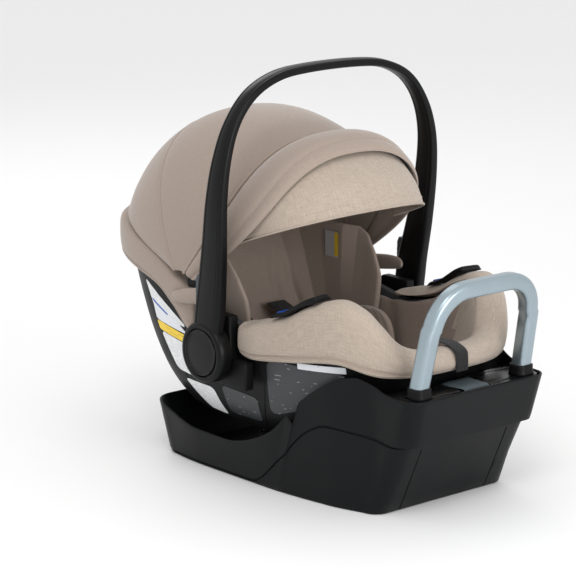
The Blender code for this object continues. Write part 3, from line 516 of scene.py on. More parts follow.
def knit_group() -> bpy.types.NodeTree:
    """A fine jersey knit: rows of leaning loops."""

    def wire(graph: Graph, entry: bpy.types.Node) -> dict[str, bpy.types.NodeSocket]:
        """Places the knit's nodes."""
        scaled, x, y = graph.cells(entry)
        lean = graph.math("ABSOLUTE", graph.math("SUBTRACT", graph.math("FRACT", y), 0.5))
        loop = graph.arch(graph.math("ADD", x, graph.math("MULTIPLY", lean, 0.6)))
        fade = graph.arch(y)
        height = graph.math("MULTIPLY", loop, graph.math("ADD", graph.math("MULTIPLY", fade, 0.4), 0.6))
        fleck = graph.noise(graph.stretched(scaled, (0.35, 0.12, 1.0)), 1.0, 2.0)
        return {"Height": height, "Fleck": graph.ranged(fleck, 0.3, 0.7)}

    return node_group("knitted_loops", (("Vector", VECTOR, None), ("Pitch", FLOAT, 0.001)),
                      (("Height", FLOAT), ("Fleck", FLOAT)), wire)


def grain_group() -> bpy.types.NodeTree:
    """The fine spark-eroded grain of moulded plastic, with broad sink and flow marks."""

    def wire(graph: Graph, entry: bpy.types.Node) -> dict[str, bpy.types.NodeSocket]:
        """Places the grain's nodes."""
        fine = graph.add("ShaderNodeTexVoronoi", {"Vector": entry.outputs["Vector"], "Scale": 1500.0},
                         feature="SMOOTH_F1")
        fines = graph.math("ADD", fine.outputs["Distance"],
                           graph.math("MULTIPLY", graph.noise(entry.outputs["Vector"], 2600.0), 0.5))
        tone = graph.noise(entry.outputs["Vector"], 14.0, 4.0)
        return {"Height": fines, "Tone": tone}

    return node_group("moulded_grain", (("Vector", VECTOR, None),),
                      (("Height", FLOAT), ("Tone", FLOAT)), wire)


def edge_group() -> bpy.types.NodeTree:
    """Where corners stick out: a mask for the rub that handled edges show."""

    def wire(graph: Graph, entry: bpy.types.Node) -> dict[str, bpy.types.NodeSocket]:
        """Places the mask's nodes."""
        point = graph.add("ShaderNodeNewGeometry").outputs["Pointiness"]
        rub = graph.math("MULTIPLY", graph.ranged(point, 0.52, 0.62),
                         graph.ranged(graph.noise(entry.outputs["Vector"], 60.0, 4.0), 0.35, 0.7))
        return {"Mask": graph.math("MULTIPLY", rub, entry.outputs["Amount"])}

    return node_group("rubbed_edges", (("Vector", VECTOR, None), ("Amount", FLOAT, 0.3)),
                      (("Mask", FLOAT),), wire)


def dust_group() -> bpy.types.NodeTree:
    """Fine dust on what faces up."""

    def wire(graph: Graph, entry: bpy.types.Node) -> dict[str, bpy.types.NodeSocket]:
        """Places the dust's nodes."""
        facing = graph.add("ShaderNodeSeparateXYZ", {0: graph.add("ShaderNodeTexCoord").outputs["Normal"]})
        up = graph.ranged(facing.outputs[2], 0.5, 1.0)
        speck = graph.ranged(graph.noise(entry.outputs["Vector"], 35.0, 6.0), 0.42, 0.75)
        return {"Mask": graph.math("MULTIPLY", graph.math("MULTIPLY", up, speck), entry.outputs["Amount"])}

    return node_group("settled_dust", (("Vector", VECTOR, None), ("Amount", FLOAT, 0.1)),
                      (("Mask", FLOAT),), wire)


# ------------------------------------------------------------------------------------------------ finishes
class Wrap(Enum):
    """Which coordinates a finish follows."""

    OBJECT = "object"
    CLOTH = "cloth"


class Cloth(Enum):
    """How a cloth is made."""

    KNIT = "knit"
    WOVEN = "woven"
    WEBBING = "webbing"


def opaque(colour: Colour) -> tuple[float, float, float, float]:
    """Gives a colour its alpha."""
    return (*colour, 1.0)


def scaled_colour(colour: Colour, factor: float) -> tuple[float, float, float, float]:
    """Lightens or darkens a colour."""
    return opaque(tuple(min(channel * factor, 1.0) for channel in colour))


@dataclass(frozen=True)
class Finish:
    """What every finish has: a name, a colour and how rough it is."""

    name: str
    colour: Colour
    roughness: float

    def material(self) -> bpy.types.Material:
        """Makes the material once and returns it."""
        found = bpy.data.materials.get(self.name)
        if found:
            return found
        made = bpy.data.materials.new(self.name)
        made.use_nodes = True
        graph = Graph(made.node_tree)
        shader = made.node_tree.nodes["Principled BSDF"]
        shader.inputs["Base Color"].default_value = opaque(self.colour)
        shader.inputs["Roughness"].default_value = self.roughness
        made.diffuse_color = opaque(self.colour)
        self.dress(graph, shader)
        return made

    def dress(self, graph: Graph, shader: bpy.types.Node) -> None:
        """Adds the finish's own nodes."""

    def coordinates(self, graph: Graph, wrap: Wrap) -> bpy.types.NodeSocket:
        """Gives the vector that a pattern follows."""
        if wrap is Wrap.CLOTH:
            return graph.add("ShaderNodeUVMap", uv_map=CLOTH_UV).outputs[0]
        return graph.add("ShaderNodeTexCoord").outputs["Object"]


@dataclass(frozen=True)
class Plastic(Finish):
    """Moulded plastic with a fine grain, rubbed edges and a little dust."""

    grain: float = 0.12
    rub: float = 0.25
    dust: float = 0.05
    coat: float = 0.0
    specular: float = 0.14

    def dress(self, graph: Graph, shader: bpy.types.Node) -> None:
        """Wires grain, tone, rubbed edges and dust."""
        where = self.coordinates(graph, Wrap.OBJECT)
        grain = graph.add("ShaderNodeGroup", node_tree=grain_group())
        edges = graph.add("ShaderNodeGroup", node_tree=edge_group())
        dust = graph.add("ShaderNodeGroup", node_tree=dust_group())
        for node in (grain, edges, dust):
            graph.feed(where, node, "Vector")
        edges.inputs["Amount"].default_value = self.rub
        dust.inputs["Amount"].default_value = self.dust
        base = graph.mixed(grain.outputs["Tone"], scaled_colour(self.colour, 0.85),
                           scaled_colour(self.colour, 1.15))
        rubbed = graph.mixed(edges.outputs["Mask"], base, scaled_colour(self.colour, 2.6))
        dusted = graph.mixed(dust.outputs["Mask"], rubbed, (0.42, 0.41, 0.39, 1.0))
        graph.feed(dusted, shader, "Base Color")
        rough = graph.ranged(grain.outputs["Tone"], 0.3, 0.7, self.roughness - 0.05, self.roughness + 0.06)
        graph.feed(rough, shader, "Roughness")
        graph.bump(shader, grain.outputs["Height"], self.grain, 0.0002)
        shader.inputs["Specular IOR Level"].default_value = self.specular
        shader.inputs["Coat Weight"].default_value = self.coat
        shader.inputs["Coat Roughness"].default_value = 0.18


@dataclass(frozen=True)
class Metal(Finish):
    """Metal with a faint run of drawing lines and a cloudy sheen."""

    metallic: float = 1.0
    lines: float = 0.1

    def dress(self, graph: Graph, shader: bpy.types.Node) -> None:
        """Wires the drawing lines and the cloudiness."""
        where = self.coordinates(graph, Wrap.OBJECT)
        shader.inputs["Metallic"].default_value = self.metallic
        cloud = graph.noise(where, 22.0, 3.0)
        base = graph.mixed(cloud, scaled_colour(self.colour, 0.93), scaled_colour(self.colour, 1.07))
        graph.feed(base, shader, "Base Color")
        lines = graph.noise(graph.stretched(where, (900.0, 900.0, 60.0)), 1.0, 2.0)
        rough = graph.ranged(graph.math("ADD", cloud, graph.math("MULTIPLY", lines, 0.5)), 0.5, 1.0,
                             self.roughness - 0.04, self.roughness + 0.05)
        graph.feed(rough, shader, "Roughness")
        graph.bump(shader, lines, self.lines, 0.0001)


@dataclass(frozen=True)
class Fabric(Finish):
    """Cloth with visible threads, mixed yarn, a soft sheen and a faint unevenness."""

    cloth: Cloth = Cloth.KNIT
    pitch: float = 0.0009
    contrast: float = 0.1
    relief: float = 0.35
    sheen: float = 0.3
    wrap: Wrap = Wrap.CLOTH

    def dress(self, graph: Graph, shader: bpy.types.Node) -> None:
        """Wires the threads, the yarn's colours, painted shade between the threads and the sheen."""
        where = self.coordinates(graph, self.wrap)
        tree = knit_group() if self.cloth is Cloth.KNIT else weave_group()
        threads = graph.add("ShaderNodeGroup", {"Vector": where, "Pitch": self.pitch}, node_tree=tree)
        place = self.coordinates(graph, Wrap.OBJECT)
        uneven = graph.noise(place, 9.0, 3.0)
        light = scaled_colour(self.colour, 1.0 + self.contrast)
        dark = scaled_colour(self.colour, 1.0 - self.contrast)
        yarn = graph.mixed(threads.outputs["Fleck"], dark, light)
        # painted shade: the low parts between the threads are mixed towards a darker copy of the cloth's
        # colour
        hollow = graph.ranged(threads.outputs["Height"], 0.0, 0.7, 0.35, 0.0)
        shaded = graph.mixed(hollow, yarn, scaled_colour(self.colour, 0.62))
        worn = graph.ranged(uneven, 0.35, 0.65, 0.0, 0.18)
        toned = graph.mixed(worn, shaded, scaled_colour(self.colour, 0.86))
        graph.feed(toned, shader, "Base Color")
        shader.inputs["Sheen Weight"].default_value = self.sheen
        shader.inputs["Sheen Roughness"].default_value = 0.45
        shader.inputs["Specular IOR Level"].default_value = 0.25
        soft = graph.math("MULTIPLY", graph.noise(place, 70.0, 3.0), 1.6)
        height = graph.math("ADD", threads.outputs["Height"], soft)
        graph.bump(shader, height, self.relief, 0.0004)


@dataclass(frozen=True)
class Print(Finish):
    """A satin sticker with plain ruled lines that stand for small print."""

    ink: Colour = (0.25, 0.26, 0.28)
    rule: float = 0.0042
    density: float = 0.55
    strength: float = 0.6
    stroke: float = 0.22

    def dress(self, graph: Graph, shader: bpy.types.Node) -> None:
        """Wires the ruled lines and the film's gloss."""
        where = self.coordinates(graph, Wrap.CLOTH)
        split = graph.add("ShaderNodeSeparateXYZ", {0: where})
        row = graph.math("DIVIDE", split.outputs[1], self.rule)
        inside = graph.math("LESS_THAN", graph.math("FRACT", row), self.stroke)
        runs = graph.add("ShaderNodeCombineXYZ", {0: graph.math("MULTIPLY", split.outputs[0], 70.0),
                                                  1: graph.math("MULTIPLY", graph.math("FLOOR", row), 7.3)})
        word = graph.math("GREATER_THAN", graph.noise(runs.outputs[0], 1.0, 1.0), 1.0 - self.density)
        mark = graph.math("MULTIPLY", graph.math("MULTIPLY", inside, word), self.strength)
        graph.feed(graph.mixed(mark, opaque(self.colour), opaque(self.ink)), shader, "Base Color")
        cloud = graph.noise(self.coordinates(graph, Wrap.OBJECT), 30.0, 3.0)
        rough = graph.ranged(cloud, 0.3, 0.7, self.roughness - 0.05, self.roughness + 0.05)
        graph.feed(rough, shader, "Roughness")


@dataclass(frozen=True)
class Foam(Finish):
    """Moulded bead foam."""

    def dress(self, graph: Graph, shader: bpy.types.Node) -> None:
        """Wires the beads, each with painted shade towards its edge."""
        where = self.coordinates(graph, Wrap.OBJECT)
        beads = graph.add("ShaderNodeTexVoronoi", {"Vector": where, "Scale": 320.0})
        # painted shade: each bead is lighter in its middle and darker towards its edge
        shade = graph.ranged(beads.outputs["Distance"], 0.0, 0.8, 0.0, 0.5)
        tinted = graph.mixed(shade, scaled_colour(self.colour, 1.2), scaled_colour(self.colour, 0.6))
        graph.feed(tinted, shader, "Base Color")
        graph.bump(shader, beads.outputs["Distance"], 0.5, 0.0006, invert=True)


TAUPE = (0.335, 0.268, 0.225)
DARK_TAUPE = (0.285, 0.222, 0.185)
SAND = (0.415, 0.345, 0.285)

BASE_BLACK = Plastic("base_black", (0.0042, 0.0047, 0.0054), 0.40, grain=0.06, rub=0.25, dust=0.004)
DECK_BLACK = Plastic("deck_black", (0.0032, 0.0034, 0.0038), 0.30, grain=0.05, rub=0.2, dust=0.003, coat=0.1)
SHELL_BLACK = Plastic("shell_black", (0.0052, 0.0054, 0.0058), 0.46, grain=0.14, rub=0.2, dust=0.004)
HANDLE_BLACK = Plastic("handle_black", (0.0032, 0.0034, 0.0036), 0.36, grain=0.05, rub=0.3, dust=0.003,
                       coat=0.05)
HUB_BLACK = Plastic("hub_black", (0.0028, 0.003, 0.0032), 0.28, grain=0.03, rub=0.3, dust=0.002, coat=0.12)
TRIM_BLACK = Plastic("trim_black", (0.0042, 0.0044, 0.0047), 0.42, grain=0.08, rub=0.25, dust=0.003)
SLATE = Plastic("slate_grey", (0.058, 0.074, 0.083), 0.42, grain=0.1, rub=0.2, dust=0.01)
SIGNAL_BLUE = Plastic("signal_blue", (0.012, 0.06, 0.30), 0.32, grain=0.04, rub=0.1, dust=0.0)
SIGNAL_RED = Plastic("signal_red", (0.42, 0.012, 0.01), 0.32, grain=0.04, rub=0.1, dust=0.0)
BAR_METAL = Metal("bar_anodised", (0.33, 0.40, 0.44), 0.33, metallic=0.85, lines=0.06)
ZINC = Metal("zinc_steel", (0.55, 0.56, 0.57), 0.3, metallic=1.0, lines=0.2)
BEAD_FOAM = Foam("bead_foam", (0.05, 0.05, 0.052), 0.85)
KNIT = Fabric("taupe_knit", TAUPE, 0.82, cloth=Cloth.KNIT, pitch=0.0009, contrast=0.05, relief=0.22,
              sheen=0.35)
LINER_KNIT = Fabric("liner_knit", DARK_TAUPE, 0.85, cloth=Cloth.KNIT, pitch=0.0009, contrast=0.06,
                    relief=0.25, sheen=0.25)
MELANGE = Fabric("sand_melange", SAND, 0.88, cloth=Cloth.WOVEN, pitch=0.0008, contrast=0.15, relief=0.35,
                 sheen=0.2)
PIPING = Fabric("taupe_piping", (0.36, 0.285, 0.235), 0.85, cloth=Cloth.WOVEN, pitch=0.0006, contrast=0.08,
                relief=0.3, sheen=0.2, wrap=Wrap.OBJECT)
THREAD = Fabric("sand_thread", (0.55, 0.46, 0.38), 0.8, cloth=Cloth.WOVEN, pitch=0.0004, contrast=0.1,
                relief=0.2, sheen=0.1, wrap=Wrap.OBJECT)
DARK_THREAD = Fabric("taupe_thread", (0.25, 0.19, 0.155), 0.8, cloth=Cloth.WOVEN, pitch=0.0004, contrast=0.1,
                     relief=0.2, sheen=0.1, wrap=Wrap.OBJECT)
WEBBING = Fabric("black_webbing", (0.012, 0.012, 0.013), 0.62, cloth=Cloth.WEBBING, pitch=0.0016,
                 contrast=0.3, relief=0.7, sheen=0.1)
PAPER = Print("white_print", (0.78, 0.79, 0.80), 0.34)
DARK_PRINT = Print("charcoal_print", (0.030, 0.032, 0.035), 0.40, ink=(0.34, 0.36, 0.38), rule=0.0075,
                   density=0.36, strength=0.5)
BLUE_PRINT = Print("blue_print", (0.02, 0.09, 0.42), 0.34, ink=(0.6, 0.65, 0.8), rule=0.009, density=0.3,
                   strength=0.5)
YELLOW_PRINT = Print("yellow_print", (0.85, 0.58, 0.02), 0.34, ink=(0.2, 0.14, 0.02), rule=0.0052,
                     density=0.45, strength=0.6)
ICON_WHITE = Print("icon_white", (0.72, 0.74, 0.78), 0.34, ink=(0.4, 0.42, 0.46), rule=0.007, density=0.35,
                   strength=0.5)
STUDIO_FLOOR = Finish("studio_floor", (0.86, 0.86, 0.86), 0.7)


# ------------------------------------------------------------------------------------------------ piece tools
def linked(name: str, data: bpy.types.ID) -> bpy.types.Object:
    """Puts data into the scene as an object."""
    made = bpy.data.objects.new(name, data)
    bpy.context.scene.collection.objects.link(made)
    return made


def meshed(name: str, bm: bmesh.types.BMesh) -> bpy.types.Object:
    """Puts a shape into the scene as an object and frees it."""
    mesh = bpy.data.meshes.new(name)
    bm.to_mesh(mesh)
    bm.free()
    return linked(name, mesh)


def settle(piece: bpy.types.Object) -> bpy.types.Object:
    """Turns a piece's live modifiers into mesh.

    Args:
        piece: the piece, alone on its mesh.

    Returns:
        The same piece.
    """
    bpy.context.view_layer.update()
    evaluated = piece.evaluated_get(bpy.context.evaluated_depsgraph_get())
    mesh = bpy.data.meshes.new_from_object(evaluated)
    old = piece.data
    piece.modifiers.clear()
    piece.data = mesh
    bpy.data.meshes.remove(old)
    mesh.name = piece.name
    return piece


def make(name: str, bm: bmesh.types.BMesh, finishes: Finish | Sequence[Finish], body: str,
         stands_for: Sequence[str] = (), smooth: float = 40.0,
         ride: bool = True) -> bpy.types.Object:
    """Makes a named piece of a bmesh.

    Args:
        name: the piece's name.
        bm: its shape, which is freed.
        finishes: its finish, or one for each material index.
        body: the body that it moves with.
        stands_for: the nodes that it replaces.
        smooth: the angle in degrees up to which faces are smoothed.
        ride: whether it is put on its body now.

    Returns:
        The piece.
    """
    made = meshed(name, bm)
    mesh = made.data
    for finish in finishes if isinstance(finishes, (list, tuple)) else (finishes,):
        mesh.materials.append(finish.material())
    mesh.shade_smooth()
    mesh.set_sharp_from_angle(angle=math.radians(smooth))
    if ride:
        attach(made, body)
    if stands_for:
        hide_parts(*stands_for)
    LOG.info("%s: %d faces on %s", name, len(mesh.polygons), body)
    return made


def carve(piece: bpy.types.Object, shapes: Sequence[bmesh.types.BMesh]) -> bpy.types.Object:
    """Cuts shapes out of a piece for good.

    Args:
        piece: the piece to cut.
        shapes: closed bodies, which are freed.

    Returns:
        The piece.
    """
    tools = []
    for shape in shapes:
        tool = meshed("tool", shape)
        cut = piece.modifiers.new("cut", "BOOLEAN")
        cut.operation = "DIFFERENCE"
        cut.solver = "EXACT"
        cut.object = tool
        tools.append(tool)
    settle(piece)
    for tool in tools:
        mesh = tool.data
        bpy.data.objects.remove(tool)
        bpy.data.meshes.remove(mesh)
    piece.data.shade_smooth()
    piece.data.set_sharp_from_angle(angle=math.radians(35.0))
    return piece


def rounded_off(piece: bpy.types.Object) -> bpy.types.Object:
    """Subdivides a piece once for good."""
    round_it = piece.modifiers.new("round", "SUBSURF")
    round_it.levels = round_it.render_levels = 1
    return settle(piece)


def puffed(piece: bpy.types.Object, pressure: float, frames: int, most: float,
           held: Callable[[Vector], float]) -> bpy.types.Object:
    """Fills a padded piece by simulating its cloth under pressure.

    Args:
        piece: a closed piece with even faces.
        pressure: how hard it is filled.
        frames: how many frames the cloth runs.
        most: how far any point may move.
        held: gives how firmly a point is held, from 0 to 1.

    Returns:
        The piece.
    """
    rest = np.zeros(len(piece.data.vertices) * 3)
    piece.data.vertices.foreach_get("co", rest)
    rest = rest.reshape(-1, 3)
    pins = piece.vertex_groups.new(name="pins")
    for index, point in enumerate(rest):
        weight = held(Vector(point))
        if weight > 0:
            pins.add([index], weight, "REPLACE")
    cloth = piece.modifiers.new("cloth", "CLOTH")
    cloth.settings.use_pressure = True
    cloth.settings.uniform_pressure_force = pressure
    cloth.settings.quality = 4
    cloth.settings.mass = 0.3
    cloth.settings.tension_stiffness = 25
    cloth.settings.compression_stiffness = 25
    cloth.settings.bending_stiffness = 1.2
    cloth.settings.vertex_group_mass = "pins"
    cloth.settings.effector_weights.gravity = 0.0
    cloth.collision_settings.use_collision = False
    cloth.point_cache.frame_start = 1
    cloth.point_cache.frame_end = frames
    scene = bpy.context.scene
    for number in range(1, frames + 1):
        scene.frame_set(number)
    evaluated = piece.evaluated_get(bpy.context.evaluated_depsgraph_get())
    moved = np.zeros(len(rest) * 3)
    evaluated.data.vertices.foreach_get("co", moved)
    step = moved.reshape(-1, 3) - rest
    reach = np.linalg.norm(step, axis=1, keepdims=True)
    step *= np.minimum(1.0, most / np.maximum(reach, 1e-9))
    piece.modifiers.clear()
    piece.vertex_groups.clear()
    piece.data.vertices.foreach_set("co", (rest + step).ravel())
    piece.data.update()
    scene.frame_set(1)
    LOG.info("%s: filled, moved up to %.1f mm", piece.name, 1000 * float(reach.max()))
    return piece


def dress_nodes(finish: Finish, *names: str) -> None:
    """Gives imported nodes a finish."""
    for name in names:
        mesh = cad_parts[name].data
        mesh.materials.clear()
        mesh.materials.append(finish.material())
        for face in mesh.polygons:
            face.material_index = 0


# ------------------------------------------------------------------------------------------------ the base
@dataclass
class Base:
    """The tub, its deck, the rebound bar in its sockets and the release paddle."""

    wall: float = 0.0035
    floor: float = 0.004
    front_foot: float = -0.276
    front_rim: float = -0.360
    rear_foot: float = 0.203
    rear_rim: float = 0.224
    flare: float = 0.009
    corner: float = 0.026
    tail_corner: float = 0.045
    band_share: float = 0.60
    band_step: float = 0.015
    deck_top: float = 0.187
    deck_back: float = -0.2845
    deck_stop: float = -0.285
    widths: Line = ((-0.276, 0.129), (-0.190, 0.153), (-0.060, 0.165), (0.090, 0.165), (0.203, 0.154))
    rim_line: Line = (
        (-0.330, 0.188), (-0.300, 0.191), (-0.270, 0.200), (-0.244, 0.207), (-0.222, 0.200), (-0.176, 0.177),
        (-0.150, 0.158), (-0.140, 0.149), (-0.119, 0.128), (-0.085, 0.096), (-0.054, 0.079), (-0.020, 0.067),
        (0.020, 0.060), (0.090, 0.061), (0.160, 0.073), (0.200, 0.083),
    )
    seam_line: Line = (
        (-0.330, 0.113), (-0.270, 0.121), (-0.215, 0.124), (-0.175, 0.108), (-0.140, 0.074), (-0.105, 0.036),
        (-0.075, 0.010), (-0.060, 0.005),
    )
    notch: tuple[float, float, float] = (-0.131, 0.012, 0.115)
    bar_width: float = 0.025
    bar_corner: float = 0.0075
    bar_foot: tuple[float, float] = (0.105, -0.334)
    bar_top: tuple[float, float, float] = (0.098, -0.362, 0.343)
    bar_bend: float = 0.056
    socket_low: float = 0.172
    socket_top: float = 0.203
    paddle: tuple[float, float, float, float] = (0.029, -0.347, -0.301, 0.184)

    def stations(self) -> list[tuple[str, float, int]]:
        """Lists the outline's points as a stretch, a place on it and a side, once round."""
        fractions = [k / 64 for k in range(1, 64)]
        low, high = self.front_rim + self.corner, self.rear_rim - self.tail_corner
        centre, half, _ = self.notch
        shifts = (-half, -half * 0.9, 0.0, half * 0.9, half)
        fractions += [(centre + shift - low) / (high - low) for shift in shifts]
        halfway = [("front", k / 10, RIGHT) for k in range(10)]
        halfway += [("corner", math.pi / 2 * k / 8, RIGHT) for k in range(9)]
        halfway += [("side", f, RIGHT) for f in sorted(fractions)]
        halfway += [("tail", math.pi / 2 * k / 10, RIGHT) for k in range(11)]
        halfway += [("rear", 1 - k / 8, RIGHT) for k in range(1, 9)]
        return halfway + [(kind, value, LEFT) for kind, value, _ in reversed(halfway[1:-1])]

    def outline_point(self, station: tuple[str, float, int], share: float, inset: float = 0.0,
                      proud: float = 0.0) -> tuple[float, float]:
        """Finds the outline's point at a station and a share of the rim height.

        Args:
            station: a stretch, a place on it and a side.
            share: the height as a share of the rim's.
            inset: how far the point lies inside the outer skin.
            proud: 1 above the styling seam and 0 below it.

        Returns:
            X and Y.
        """
        kind, value, side = station
        plain = self.front_foot + (self.front_rim - self.front_foot) * share
        stepped_low = self.front_foot + (self.front_rim - self.front_foot) * self.band_share - self.band_step
        over = max((share - 0.63) / 0.37, 0.0)
        stepped = stepped_low + (self.front_rim - stepped_low) * over
        weight = proud * (1.0 - blend_between(0.0, 0.2, value) if kind == "side" else
                          1.0 if kind in ("front", "corner") else 0.0)
        front = plain + (stepped - plain) * weight + inset
        rear = self.rear_foot + (self.rear_rim - self.rear_foot) * share - inset
        grow = self.flare * share + 0.0015 * proud - inset
        radius, tail = self.corner - inset, self.tail_corner - inset
        low, high = front + radius, rear - tail
        narrow = smooth_along(self.widths, low) + grow
        wide = smooth_along(self.widths, high) + grow
        if kind == "front":
            x, y = (narrow - radius) * value, front
        elif kind == "corner":
            x, y = narrow - radius + radius * math.sin(value), low - radius * math.cos(value)
        elif kind == "side":
            y = low + (high - low) * value
            x = smooth_along(self.widths, y) + grow
        elif kind == "tail":
            x, y = wide - tail + tail * math.cos(value), high + tail * math.sin(value)
        else:
            x, y = (wide - tail) * value, rear
        return side * x, y

    def rim(self, station: tuple[str, float, int]) -> float:
        """Gives the rim height at a station, with the belt notch let in."""
        _, y = self.outline_point(station, 1.0)
        centre, half, bottom = self.notch
        if station[0] == "side" and abs(y - centre) < half:
            toward = centre + math.copysign(half, y - centre)
            edge = smooth_along(self.rim_line, toward)
            return bottom + (edge - bottom) * abs(y - centre) / half
        return smooth_along(self.rim_line, y)

    def level_ring(self, height: Callable[[float, float], float], inset: float, proud: float) -> Ring:
        """Makes one ring of the tub.

        Args:
            height: gives Z for a station's rim height and its styling seam's height.
            inset: how far the ring lies inside the outer skin.
            proud: 1 above the styling seam and 0 below it.

        Returns:
            The ring.
        """
        ring = []
        for station in self.stations():
            rim = self.rim(station)
            _, y = self.outline_point(station, 1.0)
            z = height(rim, min(smooth_along(self.seam_line, y), rim - 0.02))
            x, y = self.outline_point(station, max(z, 0.0) / rim, inset, proud)
            ring.append(Vector((x, y, z)))
        return ring

    def build_tub(self) -> bpy.types.Object:
        """Builds the tub with its styling seam, rolled rim and hollow inside."""
        rings = [self.level_ring(lambda rim, seam, z=z: z, inset, 0.0)
                 for z, inset in ((0.0, 0.0045), (0.0006, 0.0018), (0.0025, 0.0003))]
        for k in range(1, 7):
            rings.append(self.level_ring(lambda rim, seam, k=k: 0.0025 + (seam - 0.0045) * k / 6, 0.0, 0.0))
        for lift, inset, proud in ((-0.0008, 0.0016, 0.0), (0.0008, 0.0016, 0.3), (0.0022, 0.0, 0.9)):
            rings.append(self.level_ring(lambda rim, seam, lift=lift: seam + lift, inset, proud))
        for k in range(1, 9):
            rings.append(self.level_ring(
                lambda rim, seam, k=k: seam + 0.003 + (rim - 0.003 - seam - 0.003) * k / 8, 0.0, 1.0))
        for drop, inset in ((0.0012, 0.0002), (0.0003, 0.0009), (0.0, 0.0018), (0.0003, self.wall - 0.0008),
                            (0.0014, self.wall - 0.0001)):
            rings.append(self.level_ring(lambda rim, seam, drop=drop: rim - drop, inset, 1.0))
        for k in range(1, 7):
            rings.append(self.level_ring(
                lambda rim, seam, k=k: rim - 0.002 - (rim - 0.009 - self.floor) * k / 6, self.wall, 0.0))
        rings.append(self.level_ring(lambda rim, seam: self.floor, self.wall + 0.004, 0.0))
        tub = make("tub", ring_skin(rings, caps=True), BASE_BLACK, "base", ["base_shell"],
                   30.0)
        low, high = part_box("recline_foot")
        well = block((low.x - 0.0015, low.y - 0.0015, -0.01), (high.x + 0.0015, high.y + 0.004, 0.008))
        return carve(tub, [well, *self.front_recesses()])

    def front_recesses(self) -> list[bmesh.types.BMesh]:
        """Gives the shapes of the shallow upright grooves in the tub's nose."""
        out, run, rise, radius = 0.088, 0.084, 0.188, 0.0014
        shapes = []
        for side, _ in SIDES:
            path = [Vector((side * out, self.front_foot - run * share, share * rise))
                    for share in (-0.02, 0.2, 0.4, 0.56)]
            shapes.append(tube(path, radius))
        return shapes

    def build_deck(self) -> None:
        """Builds the crowned deck plate with its socket holes and paddle slot."""
        inset = self.wall + 0.0032
        stations = [s for s in self.stations() if s[0] in ("front", "corner")
                    or s[0] == "side" and self.outline_point(s, 1.0)[1] < self.deck_stop]
        right = [s for s in stations if s[2] == RIGHT]
        left = [s for s in stations if s[2] == LEFT]
        ordered = [*reversed(right), *reversed(left)]

        def ring(height: float, more: float) -> Ring:
            """Gives the plate's outline at a height, drawn in by more."""
            edge = [Vector((*self.outline_point(s, 0.97, inset + more, 1.0), height)) for s in ordered]
            back = self.deck_back - more
            start, end = edge[-1], edge[0]
            straight = [Vector((start.x + (end.x - start.x) * k / 12, back, height)) for k in range(1, 12)]
            return [Vector((p.x, min(p.y, back), p.z)) for p in edge] + straight

        top = self.deck_top
        groove = 0.0108
        rings = [ring(top + lift, more) for lift, more in (
            (-0.006, 0.001), (-0.001, 0.0), (-0.0003, 0.0004), (0.0, 0.0012), (-0.0006, 0.0085),
            (-0.0007, 0.0095), (0.0002, groove))]
        centre = Vector((0, -0.322, 0))
        for shrink in (0.75, 0.5, 0.25, 0.0):
            crown = top + 0.0002 + 0.0012 * (1 - shrink)
            rings.append([Vector((centre.x + (p.x - centre.x) * shrink,
                                  centre.y + (p.y - centre.y) * shrink, crown)) for p in ring(top, groove)])
        deck = make("deck", ring_skin(rings, caps=True), DECK_BLACK, "base", ["base_deck"],
                    30.0)
        reach = self.bar_width / 2 + 0.0032
        holes = []
        for side, _ in SIDES:
            x, y = side * self.bar_foot[0], self.bar_foot[1]
            holes.append(block((x - reach, y - reach, top - 0.02), (x + reach, y + reach, top + 0.02), 0.004))
        half, front, rear, _ = self.paddle
        holes.append(block((-half - 0.001, front - 0.001, top - 0.02),
                           (half + 0.001, rear + 0.001, top + 0.02), 0.002))
        carve(deck, holes)

    def build_sockets(self) -> None:
        """Builds the two collars, each with a rounded lip and a spreading foot."""
        width = self.bar_width
        for side, tag in SIDES:
            x, y = side * self.bar_foot[0], self.bar_foot[1]
            rings = []
            for z, grow in ((self.socket_low, 0.0054), (0.1875, 0.0054), (0.1885, 0.0075), (0.1905, 0.0078),
                            (0.1925, 0.0066), (0.197, 0.0054), (self.socket_top - 0.0012, 0.0052),
                            (self.socket_top - 0.0003, 0.0046), (self.socket_top, 0.0036),
                            (self.socket_top, 0.0014), (self.socket_top - 0.0008, 0.0006),
                            (self.socket_low + 0.003, 0.0006)):
                section = rounded_section(width + grow, width + grow, self.bar_corner + grow * 0.4, 5)
                rings.append([Vector((x + a, y + b, z)) for a, b in section])
            make(f"bar_collar_{tag}", ring_skin(rings, caps=True), TRIM_BLACK, "base", [f"bar_socket_{tag}"])

    def build_bar(self) -> None:
        """Builds the rebound bar: a soft square tube bent twice."""
        foot_x, foot_y = self.bar_foot
        top_x, top_y, top_z = self.bar_top
        lean = (top_y - foot_y) / (top_z - self.socket_top)
        taper = (top_x - foot_x) / (top_z - self.socket_top)

        def on_leg(z: float) -> Vector:
            """Gives the leg's centre at a height."""
            rise = max(z - self.socket_top, 0.0)
            return Vector((foot_x + taper * rise, foot_y + lean * rise, z))

        shoulder = top_z - self.bar_bend
        half = [on_leg(self.socket_low + 0.003), on_leg(self.socket_top)]
        half += [on_leg(self.socket_top + (shoulder - self.socket_top) * k / 6) for k in range(1, 7)]
        centre_x = top_x - self.bar_bend
        for step in range(1, 19):
            angle = math.pi / 2 * step / 18
            z = shoulder + self.bar_bend * math.sin(angle)
            half.append(Vector((centre_x + self.bar_bend * math.cos(angle), on_leg(z).y, z)))
        half += [Vector((centre_x * (1 - k / 4), top_y, top_z)) for k in range(1, 4)]
        path = half + [Vector((-p.x, p.y, p.z)) for p in reversed(half)]
        section = rounded_section(self.bar_width, self.bar_width, self.bar_corner, 6)
        bar = ring_skin(sweep(path, lambda index: section, Y_AXIS), caps=True)
        make("rebound_bar", bar, BAR_METAL, "base", ["anti_rebound_bar"], 50.0)

